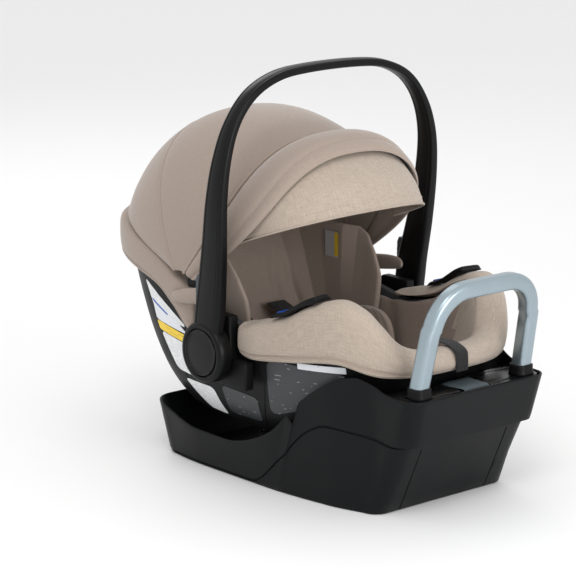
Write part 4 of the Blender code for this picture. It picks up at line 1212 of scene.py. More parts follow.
    def build_paddle(self) -> None:
        """Builds the release paddle with a raised lip along its front."""
        half, front, rear, low = self.paddle
        rings = []
        for share, lift in ((0.0, 0.0), (0.0, 0.004), (0.02, 0.0058), (0.08, 0.0068), (0.35, 0.0066),
                            (0.7, 0.0060), (0.94, 0.0064), (0.99, 0.0052), (1.0, 0.003), (1.0, 0.0)):
            y = front + (rear - front) * share
            ring = []
            for k in range(17):
                across = -1 + 2 * k / 16
                edge = 0.0025 * blend_between(0.8, 1.0, abs(across)) if lift > 0.003 else 0.0
                narrow = 1.0 - 0.12 * (1 - share)
                ring.append(Vector((half * across * narrow, y, low + max(lift - edge, 0.0))))
            rings.append(ring)
        bm = ring_skin(rings, closed=False, caps=True)
        make("paddle", bm, SLATE, "paddle", ["release_paddle"])

    def build(self) -> None:
        """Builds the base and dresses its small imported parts."""
        self.build_tub()
        self.build_deck()
        self.build_sockets()
        self.build_bar()
        self.build_paddle()
        dress_nodes(ZINC, "latch_shaft", "latch_hook_left", "latch_hook_right", "foot_pin")
        dress_nodes(TRIM_BLACK, "latch_block_left", "latch_block_right", "foot_lug_left", "foot_lug_right")
        dress_nodes(SLATE, "recline_foot")


# ------------------------------------------------------------------------------------------------ the handle
@dataclass
class Handle:
    """The arched handle with its hubs, caps and buttons."""

    pivot_y: float = 0.024
    pivot_z: float = 0.204
    hub_radius: float = 0.048
    hub_inner: float = 0.1965
    hub_outer: float = 0.2205
    cap_radius: float = 0.036
    arm_x: float = 0.2085
    bow: float = 0.007
    arm: tuple[float, float] = (0.056, 0.020)
    grip: tuple[float, float] = (0.028, 0.012)
    grip_y: float = -0.020
    grip_z: float = 0.6265

    def path(self) -> Ring:
        """Gives the centre line from the -X hub over the grip to the +X hub."""
        x, y, z = self.arm_x, self.pivot_y, self.pivot_z
        top_y, top = self.grip_y, self.grip_z
        half = [
            (-x, y - 0.005, z + 0.030), (-x, y - 0.013, z + 0.085),
            (-x - self.bow * 0.6, y - 0.026, z + 0.160), (-x - self.bow, y - 0.035, z + 0.235),
            (-x - self.bow * 0.2, top_y + 0.003, top - 0.124), (-x + 0.017, top_y + 0.001, top - 0.071),
            (-x + 0.051, top_y, top - 0.030), (-x + 0.101, top_y, top - 0.007), (-0.045, top_y, top),
        ]
        return smooth_path(half + [(-px, py, pz) for px, py, pz in reversed(half)], 9)

    def section(self, share: float) -> list[tuple[float, float]]:
        """Gives the arm's section, with a fine bead let into its outer and inner faces.

        Args:
            share: 0 at the hubs and 1 over the grip.

        Returns:
            (across, up) points.
        """
        width = self.arm[0] + (self.grip[0] - self.arm[0]) * share
        thick = self.arm[1] + (self.grip[1] - self.arm[1]) * share
        corner = thick * 0.34
        made = []
        flat = width / 2 - corner
        bead = flat - 0.0012
        angles = [math.pi / 2 * (k / 5) for k in range(6)]
        corners = [(flat + corner * math.cos(a), thick / 2 - corner + corner * math.sin(a)) for a in angles]
        half_bead = ((bead, 0.0), (bead - 0.0005, 0.0007), (bead - 0.0011, 0.0007), (bead - 0.0017, 0.0),
                     (bead * 0.5, -0.0006))
        beads = [*half_bead, (0.0, -0.0009), *((-place, dip) for place, dip in reversed(half_bead))]
        for face in (1, -1):
            made += [(face * across, face * up) for across, up in corners]
            made += [(face * place, face * (thick / 2 - dip)) for place, dip in beads]
            made += [(face * -across, face * up) for across, up in reversed(corners[1:])]
        return made

    def build_arch(self) -> None:
        """Builds the arch and both hub discs."""
        path = self.path()
        low = path[0].z
        shares = [min(max((p.z - low - 0.04) / (self.grip_z - low - 0.10), 0.0), 1.0) for p in path]
        rings = sweep(path, lambda index: self.section(shares[index]), Y_AXIS)
        arch = make("arch", ring_skin(rings, caps=True), HANDLE_BLACK, "handle", ["handle_arch"],
                    32.0)
        room = 0.0006
        slots = []
        for _, tag in SIDES:
            low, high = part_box(f"handle_button_{tag}")
            slots.append(block((low.x - room, low.y - 0.006, low.z - room),
                               (high.x + room, high.y + 0.02, high.z + room), 0.0008, 2))
        carve(arch, slots)
        for side, tag in SIDES:
            start = (side * self.hub_inner, self.pivot_y, self.pivot_z)
            depth = self.hub_outer - self.hub_inner
            radius, cap = self.hub_radius, self.cap_radius
            profile = [
                (0.0, 0.0), (0.0, radius - 0.003), (0.0008, radius - 0.001), (0.0025, radius),
                (depth * 0.55, radius), (depth - 0.004, radius - 0.0008), (depth - 0.0015, radius - 0.0025),
                (depth - 0.0002, radius - 0.005), (depth, radius - 0.0075), (depth - 0.0004, cap + 0.0022),
                (depth - 0.0016, cap + 0.0012), (depth - 0.0035, cap + 0.0008), (depth - 0.0036, 0.0),
            ]
            make(f"hub_{tag}", turned(profile, start, side), HANDLE_BLACK, "handle", (),
                 32.0)

    def build_caps(self) -> None:
        """Builds the caps: a dished disc inside a thin raised rim, with a plain ring in place of any mark."""
        for side, tag in SIDES:
            start = (side * (self.hub_outer - 0.0034), self.pivot_y, self.pivot_z)
            cap = self.cap_radius
            profile = [
                (0.0, 0.0), (0.0, cap - 0.001), (0.0010, cap), (0.0030, cap - 0.0002), (0.0040, cap - 0.0008),
                (0.0042, cap - 0.0018), (0.0036, cap - 0.0026), (0.0028, cap - 0.0034), (0.0026, cap - 0.006),
                (0.0030, cap * 0.7), (0.0034, cap * 0.45), (0.0036, cap * 0.2), (0.0036, 0.0),
            ]
            make(f"hub_disc_{tag}", turned(profile, start, side), HUB_BLACK, "handle", [f"hub_cap_{tag}"],
                 28.0)

    def build_buttons(self) -> None:
        """Builds the release buttons: ribbed keys with rounded backs."""
        for side, tag in SIDES:
            low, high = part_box(f"handle_button_{tag}")
            rings = []
            for k in range(41):
                share = k / 40
                z = low.z + (high.z - low.z) * share
                end = 0.0035 * (blend_between(0.86, 1.0, share) + blend_between(0.14, 0.0, share))
                rib = 0.0007 * (0.5 + 0.5 * math.cos(share * 2 * math.pi * 9)) if 0.25 < share < 0.75 else 0.0
                depth = high.y - low.y - end + rib
                section = rounded_section(high.x - low.x, depth, 0.0022, 3)
                middle = (low.x + high.x) / 2
                rings.append([Vector((middle + a, low.y + depth / 2 + b, z)) for a, b in section])
            make(f"arm_button_{tag}", ring_skin(rings, caps=True), SLATE, f"handle_button_{tag}",
                 [f"handle_button_{tag}"])

    def build(self) -> None:
        """Builds the handle and dresses its pins."""
        self.build_arch()
        self.build_caps()
        self.build_buttons()
        dress_nodes(ZINC, "pivot_pin_left", "pivot_pin_right")


# ------------------------------------------------------------------------------------------------ the carrier
@dataclass(frozen=True)
class BucketForm:
    """The bucket's outlines, which its liner, covers, inserts and labels follow."""

    belly: float = 0.065
    centre_y: float = 0.030
    half: float = 0.170
    front: float = -0.296
    rear: float = 0.352
    square_front: float = 3.6
    square_rear: float = 4.0
    front_draw: Line = ((0.0, 0.156), (0.08, 0.096), (0.30, 0.061), (0.62, 0.028), (1.0, 0.0))
    rear_draw: Line = ((0.0, 0.214), (0.08, 0.146), (0.30, 0.084), (0.62, 0.038), (1.0, 0.0))
    side_draw: Line = ((0.0, 0.070), (0.08, 0.035), (0.30, 0.015), (0.62, 0.005), (1.0, 0.0))
    rim_line: Line = (
        (-0.296, 0.222), (-0.285, 0.236), (-0.270, 0.262), (-0.245, 0.288), (-0.215, 0.299), (-0.165, 0.285),
        (-0.110, 0.258), (-0.030, 0.243), (0.040, 0.243), (0.100, 0.268), (0.200, 0.318), (0.352, 0.362),
    )
    hem_line: Line = (
        (-0.300, 0.205), (-0.270, 0.208), (-0.214, 0.222), (-0.123, 0.210), (-0.028, 0.199), (0.100, 0.212),
        (0.145, 0.248), (0.190, 0.276), (0.260, 0.292), (0.330, 0.304),
    )

    def plan(self, angle: float, share: float, inset: float = 0.0) -> tuple[float, float]:
        """Gives the outline in plan.

        Args:
            angle: the outline's angle; 0 is +X and a quarter turn is the rear.
            share: the height as a share of the rim's.
            inset: how far inside the outer skin.

        Returns:
            X and Y.
        """
        half = self.half - smooth_along(self.side_draw, share) - inset
        front = self.centre_y - self.front - smooth_along(self.front_draw, share) - inset
        rear = self.rear - self.centre_y - smooth_along(self.rear_draw, share) - inset
        behind = math.sin(angle) > 0
        power = 2 / (self.square_rear if behind else self.square_front)
        back = (rear if behind else front) * powered(math.sin(angle), power)
        return half * powered(math.cos(angle), power), self.centre_y + back

    def rim(self, angle: float) -> float:
        """Gives the rim's height at an outline angle."""
        return smooth_along(self.rim_line, self.plan(angle, 1.0)[1])

    def hem(self, y: float) -> float:
        """Gives the height of the covers' hem at a place along Y."""
        return smooth_along(self.hem_line, y)

    def point(self, angle: float, share: float, inset: float = 0.0, lift: float = 0.0) -> Vector:
        """Gives a point of the skin, moved in by inset and up by lift at the belly."""
        x, y = self.plan(angle, share, inset)
        rim = self.rim(angle)
        return Vector((x, y, self.belly + lift + share * (rim - self.belly - lift)))

    def angle_at(self, y: float, side: int = RIGHT) -> float:
        """Finds the outline angle whose rim point lies at a place along Y on one side."""
        low, high = -math.pi / 2, math.pi / 2
        for _ in range(40):
            middle = (low + high) / 2
            if self.plan(middle, 1.0)[1] < y:
                low = middle
            else:
                high = middle
        return low if side > 0 else math.pi - low

    def even_angles(self, start: float, end: float, count: int) -> list[float]:
        """Spaces outline angles evenly along the rim.

        Args:
            start: the first angle.
            end: the last angle.
            count: how many pieces the stretch is cut into.

        Returns:
            count + 1 angles.
        """
        fine = [start + (end - start) * k / 2400 for k in range(2401)]
        run = run_along([Vector((*self.plan(a, 1.0), self.rim(a))) for a in fine])
        wanted = np.linspace(0, run[-1], count + 1)
        return [float(a) for a in np.interp(wanted, run, fine)]

    def outward(self, angle: float) -> Vector:
        """Gives the direction out of the rim in plan."""
        before = Vector(self.plan(angle - 0.004, 1.0))
        after = Vector(self.plan(angle + 0.004, 1.0))
        run = (after - before).normalized()
        return Vector((run.y, -run.x, 0.0))

    def beside_rim(self, angle: float, out: float, height: float) -> Vector:
        """Gives a point that lies out from the rim line at a height."""
        x, y = self.plan(angle, 1.0)
        away = self.outward(angle)
        return Vector((x + away.x * out, y + away.y * out, height))

    def on_side(self, y: float, z: float, side: int, proud: float) -> Vector:
        """Finds the point of a side wall at (y, z), standing proud of it."""
        share = (z - self.belly) / (0.25 - self.belly)
        angle = 0.0
        for _ in range(24):
            share = min(max(share, 0.0), 1.0)
            behind = y > self.centre_y
            reach = (self.rear - self.centre_y - smooth_along(self.rear_draw, share) if behind
                     else self.centre_y - self.front - smooth_along(self.front_draw, share))
            power = 2 / (self.square_rear if behind else self.square_front)
            ratio = min(abs(y - self.centre_y) / reach, 0.9999)
            angle = math.copysign(math.asin(ratio ** (1 / power)), y - self.centre_y)
            share = 0.5 * share + 0.5 * (z - self.belly) / (self.rim(angle) - self.belly)
        x, _ = self.plan(angle, min(max(share, 0.0), 1.0))
        return Vector((side * (x + proud), y, z))


FORM = BucketForm()


@dataclass(frozen=True)
class Label:
    """A printed patch on a side wall: four (y, z) corners round it and its finish."""

    name: str
    corners: tuple[tuple[float, float], ...]
    finish: Print
    proud: float = 0.0004
    rounding: float = 0.14


LABELS = (
    Label("info_panel", ((0.242, 0.276), (0.131, 0.219), (0.131, 0.2145), (0.212, 0.224)), PAPER),
    Label("info_band_blue", ((0.222, 0.246), (0.176, 0.2275), (0.176, 0.2245), (0.219, 0.241)),
          BLUE_PRINT, 0.0007),
    Label("info_lower", ((0.219, 0.238), (0.148, 0.2185), (0.124, 0.2035), (0.212, 0.2125)),
          ICON_WHITE, 0.0006),
    Label("caution_band", ((0.212, 0.212), (0.124, 0.201), (0.121, 0.188), (0.205, 0.197)),
          YELLOW_PRINT, 0.0008),
    Label("ruled_sheet", ((0.203, 0.196), (0.105, 0.184), (0.075, 0.134), (0.166, 0.139)), PAPER, 0.0005),
    Label("lower_sheet", ((0.150, 0.128), (0.072, 0.128), (0.052, 0.086), (0.098, 0.088)), PAPER, 0.0005),
    Label("guide_panel", ((0.048, 0.138), (-0.036, 0.134), (-0.036, 0.094), (0.040, 0.094)), DARK_PRINT),
    Label("care_panel", ((-0.068, 0.204), (-0.214, 0.204), (-0.186, 0.150), (-0.062, 0.112)), DARK_PRINT),
    Label("care_strip", ((-0.132, 0.209), (-0.214, 0.214), (-0.214, 0.204), (-0.132, 0.200)),
          ICON_WHITE, 0.0008, 0.05),
)


@dataclass
class Carrier:
    """The hard bucket with its labels, pivot housings, belt guides, lever and liner."""

    form: BucketForm = FORM
    wall: float = 0.004
    liner_outer: float = 0.018
    liner_inner: float = 0.028
    around: int = 168
    foot_seam: float = -0.172
    lever_low: float = 0.2145
    lever_high: float = 0.262
    lever_back: float = 0.3262
    lever_size: tuple[float, float, float] = (0.071, 0.0085, 0.047)
    lever_lean: float = 0.36

    def ring(self, share: float, depth: float, drop: float = 0.0) -> Ring:
        """Gives one ring of the bucket at a share of its height and a depth below its skin."""
        angles = self.form.even_angles(-math.pi / 2, 1.5 * math.pi, self.around)[:-1]
        return [self.form.point(a, share, depth, depth) - Vector((0, 0, drop)) for a in angles]

    def bucket(self, outer: float, inner: float, top: float, rows: int) -> list[Ring]:
        """Gives the rings of an open bucket from its outer pole over its rim to its inner pole."""
        shares = [top * (k / rows) ** 1.35 for k in range(rows + 1)]
        rings = [[self.pole(outer)] * self.around]
        rings += [self.shrunk(self.ring(0.0, outer), self.pole(outer), s) for s in (0.35, 0.7, 0.9)]
        rings += [self.ring(s, outer) for s in shares[:-1]]
        middle, reach = (outer + inner) / 2, (inner - outer) / 2
        for k in range(7):
            angle = math.pi * k / 6
            drop = reach * (1 - math.sin(angle)) * 0.8
            rings.append(self.ring(top, middle - reach * math.cos(angle), drop))
        rings += [self.ring(s, inner) for s in reversed(shares[:-1])]
        rings += [self.shrunk(self.ring(0.0, inner), self.pole(inner), s) for s in (0.9, 0.7, 0.35)]
        rings.append([self.pole(inner)] * self.around)
        return rings

    def pole(self, depth: float) -> Vector:
        """Gives the middle of the belly at a depth."""
        ring = self.ring(0.0, depth)
        return sum(ring, Vector()) / len(ring)

    def shrunk(self, ring: Ring, centre: Vector, share: float) -> Ring:
        """Draws a ring in towards a centre."""
        return [centre.lerp(p, share) for p in ring]

    def build_bucket(self) -> None:
        """Builds the hard bucket with the panel lines in its sides."""
        bm = ring_skin(self.bucket(0.0, self.wall, 1.0, 26))
        shell = make("bucket", bm, SHELL_BLACK, "carrier", ["carrier_shell"], 32.0)
        cuts = []
        for side, _ in SIDES:
            for path in (((0.214, 0.262), (0.190, 0.200), (0.150, 0.140), (0.108, 0.100)),
                         ((-0.052, 0.196), (-0.058, 0.160), (-0.050, 0.120), (-0.040, 0.088))):
                line = smooth_path([self.form.on_side(y, z, side, 0.0) for y, z in path], 8)
                cuts.append(tube(line, 0.0011))
        carve(shell, cuts)

    def build_labels(self) -> None:
        """Lays the printed patches on the near side and on the far side."""
        for side, tag in SIDES:
            for label in LABELS:
                bm = self.patch(label, side)
                make(f"{label.name}_{tag}", bm, label.finish, "carrier", smooth=60.0)

    def patch(self, label: Label, side: int) -> bmesh.types.BMesh:
        """Makes one patch, curved with the wall.

        Args:
            label: the patch.
            side: the wall it lies on.

        Returns:
            A thin closed body.
        """
        bm = bmesh.new()
        bmesh.ops.create_grid(bm, x_segments=1, y_segments=1, size=0.5)
        bmesh.ops.bevel(bm, geom=bm.verts[:], offset=label.rounding, offset_type="OFFSET", segments=4,
                        profile=0.5, affect="VERTICES", material=-1)
        for normal in (X_AXIS, Y_AXIS):
            for k in range(1, 14):
                bmesh.ops.bisect_plane(bm, geom=bm.verts[:] + bm.edges[:] + bm.faces[:], dist=WELD,
                                       plane_co=normal * (k / 14 - 0.5), plane_no=normal)
        a, b, c, d = (Vector((*corner, 0)) for corner in label.corners)
        layer = bm.loops.layers.uv.new(CLOTH_UV)
        width, height = (b - a).length, (d - a).length
        for face in bm.faces:
            for loop in face.loops:
                loop[layer].uv = ((loop.vert.co.x + 0.5) * width, (loop.vert.co.y + 0.5) * height)
        for vert in bm.verts:
            u, v = vert.co.x + 0.5, 0.5 - vert.co.y
            flat = a.lerp(b, u).lerp(d.lerp(c, u), v)
            vert.co = self.form.on_side(flat.x, flat.y, side, label.proud)
        bmesh.ops.recalc_face_normals(bm, faces=bm.faces)
        if sum(f.normal.x * side for f in bm.faces) < 0:
            bmesh.ops.reverse_faces(bm, faces=bm.faces)
        bmesh.ops.solidify(bm, geom=bm.faces[:], thickness=0.0006)
        bmesh.ops.recalc_face_normals(bm, faces=bm.faces)
        return bm

    def build_liner(self) -> None:
        """Builds the padded liner, with seams down its walls and the lighter cloth at its foot end."""
        bm = ring_skin(self.bucket(self.liner_outer, self.liner_inner, 0.97, 40))
        for vert in bm.verts:
            x, y, z = vert.co
            inside = (vert.normal.x * x + vert.normal.y * (y - 0.03)) < 0 or vert.normal.z > 0.5
            if not inside:
                continue
            swell = 0.0
            for place, width in ((self.side_seam(z), 0.007), (self.foot_seam - 0.1 * (z - 0.2), 0.006)):
                swell -= 0.0042 * math.exp(-((y - place) / width) ** 2)
            swell += 0.0016 * math.sin(y * 95 + z * 30) * math.sin(z * 70) * 0.5
            vert.co += vert.normal * swell
        for face in bm.faces:
            face.material_index = 1 if face.calc_center_median().y < self.foot_seam else 0
        liner = make("liner", bm, (LINER_KNIT, MELANGE), "carrier", ["seat_liner"], 60.0)

    def side_seam(self, z: float) -> float:
        """Gives where the seam down each side wall lies at a height."""
        return smooth_along(((0.10, -0.045), (0.17, -0.028), (0.21, -0.016), (0.26, -0.003)), z)

    def build_housings(self) -> None:
        """Builds the pivot housings with soft edges and a stepped foot."""
        for side, tag in SIDES:
            low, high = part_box(f"pivot_housing_{tag}")
            outline = [
                (-0.010, 0.262), (-0.010, 0.197), (-0.046, 0.194), (-0.046, 0.152), (0.054, 0.152),
                (0.066, 0.175), (0.066, 0.236), (0.050, 0.262),
            ]
            bm = bmesh.new()
            near = [bm.verts.new((low.x + 0.004, y, z)) for y, z in outline]
            face = bm.faces.new(near)
            made = bmesh.ops.extrude_face_region(bm, geom=[face])["geom"]
            moved = [g for g in made if isinstance(g, bmesh.types.BMVert)]
            bmesh.ops.translate(bm, verts=moved, vec=(high.x - low.x - 0.004, 0, 0))
            bmesh.ops.recalc_face_normals(bm, faces=bm.faces)
            round_edges(bm, 0.0035, 4)
            make(f"housing_{tag}", bm, TRIM_BLACK, "carrier", [f"pivot_housing_{tag}"])

    def build_guides(self) -> None:
        """Builds the belt guides: black wedges that rise to the front, each with a lined slot."""
        pieces = 36
        inner, outer = -0.026, 0.012
        turn = full_turn(24)
        for side, tag in SIDES:
            rear, front = self.form.angle_at(-0.090, side), self.form.angle_at(-0.182, side)
            rings = []
            for index, angle in enumerate(self.form.even_angles(front, rear, pieces)):
                share = index / pieces
                rim = self.form.rim(angle)
                end = blend_between(0.0, 0.10, share) * blend_between(1.0, 0.92, share)
                high = rim + 0.0195 + (0.011 - 0.005 * share) * (0.25 + 0.75 * end)
                low = rim + 0.0190
                ring = []
                for ca, sa in turn:
                    out = (inner + outer) / 2 + (outer - inner) / 2 * powered(ca, 0.45) * (0.90 + 0.10 * end)
                    height = (high + low) / 2 + (high - low) / 2 * powered(sa, 0.5)
                    ring.append(self.form.beside_rim(angle, out, height))
                rings.append(ring)
            guide = make(f"guide_{tag}", ring_skin(rings, caps=True), TRIM_BLACK, "carrier",
                         [f"belt_guide_{tag}"])
            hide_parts(f"guide_insert_{tag}")
            path = []
            for k in range(25):
                around = 2 * math.pi * k / 24
                y = -0.112 + 0.0165 * powered(math.cos(around), 0.5)
                out = -0.007 + 0.0105 * powered(math.sin(around), 0.5)
                angle = self.form.angle_at(y, side)
                path.append(self.form.beside_rim(angle, out, self.form.rim(angle) + 0.0262))
            make(f"guide_lining_{tag}", tube(path, 0.0018), SIGNAL_BLUE, "carrier", ())

    def build_lever(self) -> None:
        """Builds the squeeze lever behind the head end."""
        width, thick, tall = self.lever_size
        rings = []
        for k in range(41):
            share = k / 40
            z = self.lever_low + tall * share
            end = 1 - 0.35 * (1 - blend_between(0.0, 0.12, share) * blend_between(1.0, 0.88, share))
            rib = 0.0005 * (1 + math.cos(share * 2 * math.pi * 7)) * (0.2 < share < 0.8)
            section = rounded_section(width * (0.94 + 0.06 * end), thick * end - rib, 0.003, 4)
            back = self.lever_back - self.lever_lean * (self.lever_high - z)
            rings.append([Vector((a, back + b, z)) for a, b in section])
        make("squeeze_lever", ring_skin(rings, caps=True), SLATE, "lever", ["carrier_release_lever"])

    def build(self) -> None:
        """Builds the carrier's hard parts and liner."""
        self.build_bucket()
        self.build_labels()
        self.build_liner()
        self.build_housings()
        self.build_guides()
        self.build_lever()
        dress_nodes(ZINC, "striker_front", "striker_rear")
        dress_nodes(BEAD_FOAM, "foam_liner")


# ------------------------------------------------------------------------------------------------ the covers
@dataclass
class Covers:
    """The padded cover round the foot end and the smooth one round the head end."""

    form: BucketForm = FORM
    front_end: float = -0.012
    rear_start: float = 0.092
    proud: float = 0.016
    crown: float = 0.017

    def front_section(self, rim: float, hem: float, end: float) -> list[tuple[float, float]]:
        """Gives the front cover's section as (out, height) points.

        Args:
            rim: the rim's height there.
            hem: the hem's height there.
            end: 1 in the middle of the cover, falling to 0 at its closed ends.

        Returns:
            The closed section.
        """
        out, crown = self.proud - 0.004 * (1 - end), self.crown - 0.006 * (1 - end)
        side = rim + 0.002 - hem
        return [
            (0.0025, hem + 0.0012), (0.0040, hem - 0.0003), (0.0062, hem - 0.0006), (0.0085, hem + 0.0012),
            (0.0098, hem + 0.0040), (0.0100, hem + 0.0072), (0.0095, hem + 0.0088), (0.0112, hem + 0.0110),
            (0.5 * (out + 0.0115), hem + 0.20 * side), (out - 0.0006, hem + 0.38 * side),
            (out + 0.0010, hem + 0.60 * side), (out + 0.0005, hem + 0.82 * side), (out - 0.0012, rim + 0.004),
            (out - 0.0046, rim + crown * 0.62), (out - 0.0090, rim + crown * 0.86),
            (0.0012, rim + crown * 1.0), (-0.0080, rim + crown * 1.04), (-0.0170, rim + crown * 0.98),
            (-0.0240, rim + crown * 0.78), (-0.0290, rim + crown * 0.52), (-0.0315, rim + 0.0060),
            (-0.0300, rim + 0.0052), (-0.0180, rim + 0.0050), (-0.0060, rim + 0.0050),
            (0.0022, rim + 0.0050), (0.0024, rim - 0.010),
            (0.0024, hem + 0.5 * side), (0.0024, hem + 0.25 * side), (0.0024, hem + 0.010),
        ]

    def rear_section(self, rim: float, hem: float, end: float) -> list[tuple[float, float]]:
        """Gives the rear cover's section, as front_section does."""
        out = 0.011 + 0.001 * end
        side = rim + 0.003 - hem
        return [
            (0.0025, hem + 0.0012), (0.0038, hem - 0.0002), (0.0058, hem - 0.0004), (0.0074, hem + 0.0014),
            (0.0080, hem + 0.0042), (0.0078, hem + 0.0060), (0.0086, hem + 0.0080),
            (0.0098, hem + 0.18 * side), (out - 0.0006, hem + 0.36 * side), (out, hem + 0.58 * side),
            (out, hem + 0.80 * side), (out - 0.0004, rim + 0.0030), (out - 0.0028, rim + 0.0078),
            (0.0045, rim + 0.0108), (-0.0040, rim + 0.0126), (-0.0140, rim + 0.0130),
            (-0.0220, rim + 0.0115), (-0.0275, rim + 0.0090), (-0.0300, rim + 0.0066),
            (-0.0290, rim + 0.0060), (-0.0180, rim + 0.0060), (-0.0060, rim + 0.0060),
            (0.0022, rim + 0.0060), (0.0024, rim - 0.010),
            (0.0024, hem + 0.5 * side), (0.0024, hem + 0.25 * side), (0.0024, hem + 0.010),
        ]

    def end_lift(self, near: float) -> float:
        """Gives how far the hem rises at a number of pieces from a cover's end."""
        return 0.012 * (1 - rounded_end(near / 7))

    def swept(self, start: float, end: float, count: int,
              section: Callable[[float, float, float], list[tuple[float, float]]]) -> list[Ring]:
        """Carries a section round the rim, closing softly at both ends.

        Args:
            start: the first outline angle.
            end: the last outline angle.
            count: how many pieces the stretch has.
            section: gives the section.

        Returns:
            The rings.
        """
        rings = []
        angles = self.form.even_angles(start, end, count)
        for index, angle in enumerate(angles):
            share = index / count
            near = min(share, 1 - share) * count
            full = blend_between(0.0, 9.0, near)
            x, y = self.form.plan(angle, 1.0)
            rim, hem = self.form.rim(angle), self.form.hem(y)
            points = section(rim, hem + self.end_lift(near), full)
            ring = [self.form.beside_rim(angle, out, height) for out, height in points]
            if near < 1:
                centre = sum(ring, Vector()) / len(ring)
                ring = [centre.lerp(p, 0.86) for p in ring]
            rings.append(ring)
        return rings

    def hem_path(self, start: float, end: float, count: int, out: float, above: float) -> Ring:
        """Follows the hem at a distance out and above it."""
        made = []
        angles = self.form.even_angles(start, end, count)
        for index, angle in enumerate(angles):
            share = index / count
            near = min(share, 1 - share) * count
            _, y = self.form.plan(angle, 1.0)
            made.append(self.form.beside_rim(angle, out, self.form.hem(y) + self.end_lift(near) + above))
        return made

    def build_front(self) -> None:
        """Builds the front cover, filled by simulation, with its piping and stitched hem."""
        right = self.form.angle_at(self.front_end)
        start, end = -math.pi - right, right
        rings = self.swept(start, end, 150, self.front_section)
        cover = make("front_cover", ring_skin(rings, caps=True), MELANGE, "carrier", ["seat_cover"],
                     60.0, ride=False)

        def held(point: Vector) -> float:
            """Holds the hem, the underside and the piping line."""
            rim = smooth_along(self.form.rim_line, point.y)
            hem = self.form.hem(point.y)
            if point.z < hem + 0.011:
                return 1.0
            return 0.0 if point.z > rim + 0.006 else 0.35

        puffed(cover, 3.0, 14, 0.004, held)
        rounded_off(cover)
        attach(cover, "carrier")
        piping = tube(self.hem_path(start, end, 150, 0.0104, 0.0094)[6:-6], 0.0013)
        make("front_piping", piping, PIPING, "carrier", ())
        row = self.hem_path(start, end, 900, 0.0103, 0.0040)[40:-40]
        sewn = stitches(row, lambda i: Vector((row[i].x, row[i].y * 0.6, 0)).normalized())
        make("front_hem_stitches", sewn, THREAD, "carrier", ())

    def build_rear(self) -> None:
        """Builds the rear cover with its piping."""
        first = self.form.angle_at(self.rear_start)
        start, end = first, math.pi - first
        rings = self.swept(start, end, 120, self.rear_section)
        cover = make("rear_cover_cloth", ring_skin(rings, caps=True), KNIT, "carrier", ["rear_cover"],
                     60.0)
        rounded_off(cover)
        piping = tube(self.hem_path(start, end, 120, 0.0082, 0.0064)[5:-5], 0.0012)
        make("rear_piping", piping, PIPING, "carrier", ())

    def build(self) -> None:
        """Builds both covers."""
        self.build_front()
        self.build_rear()


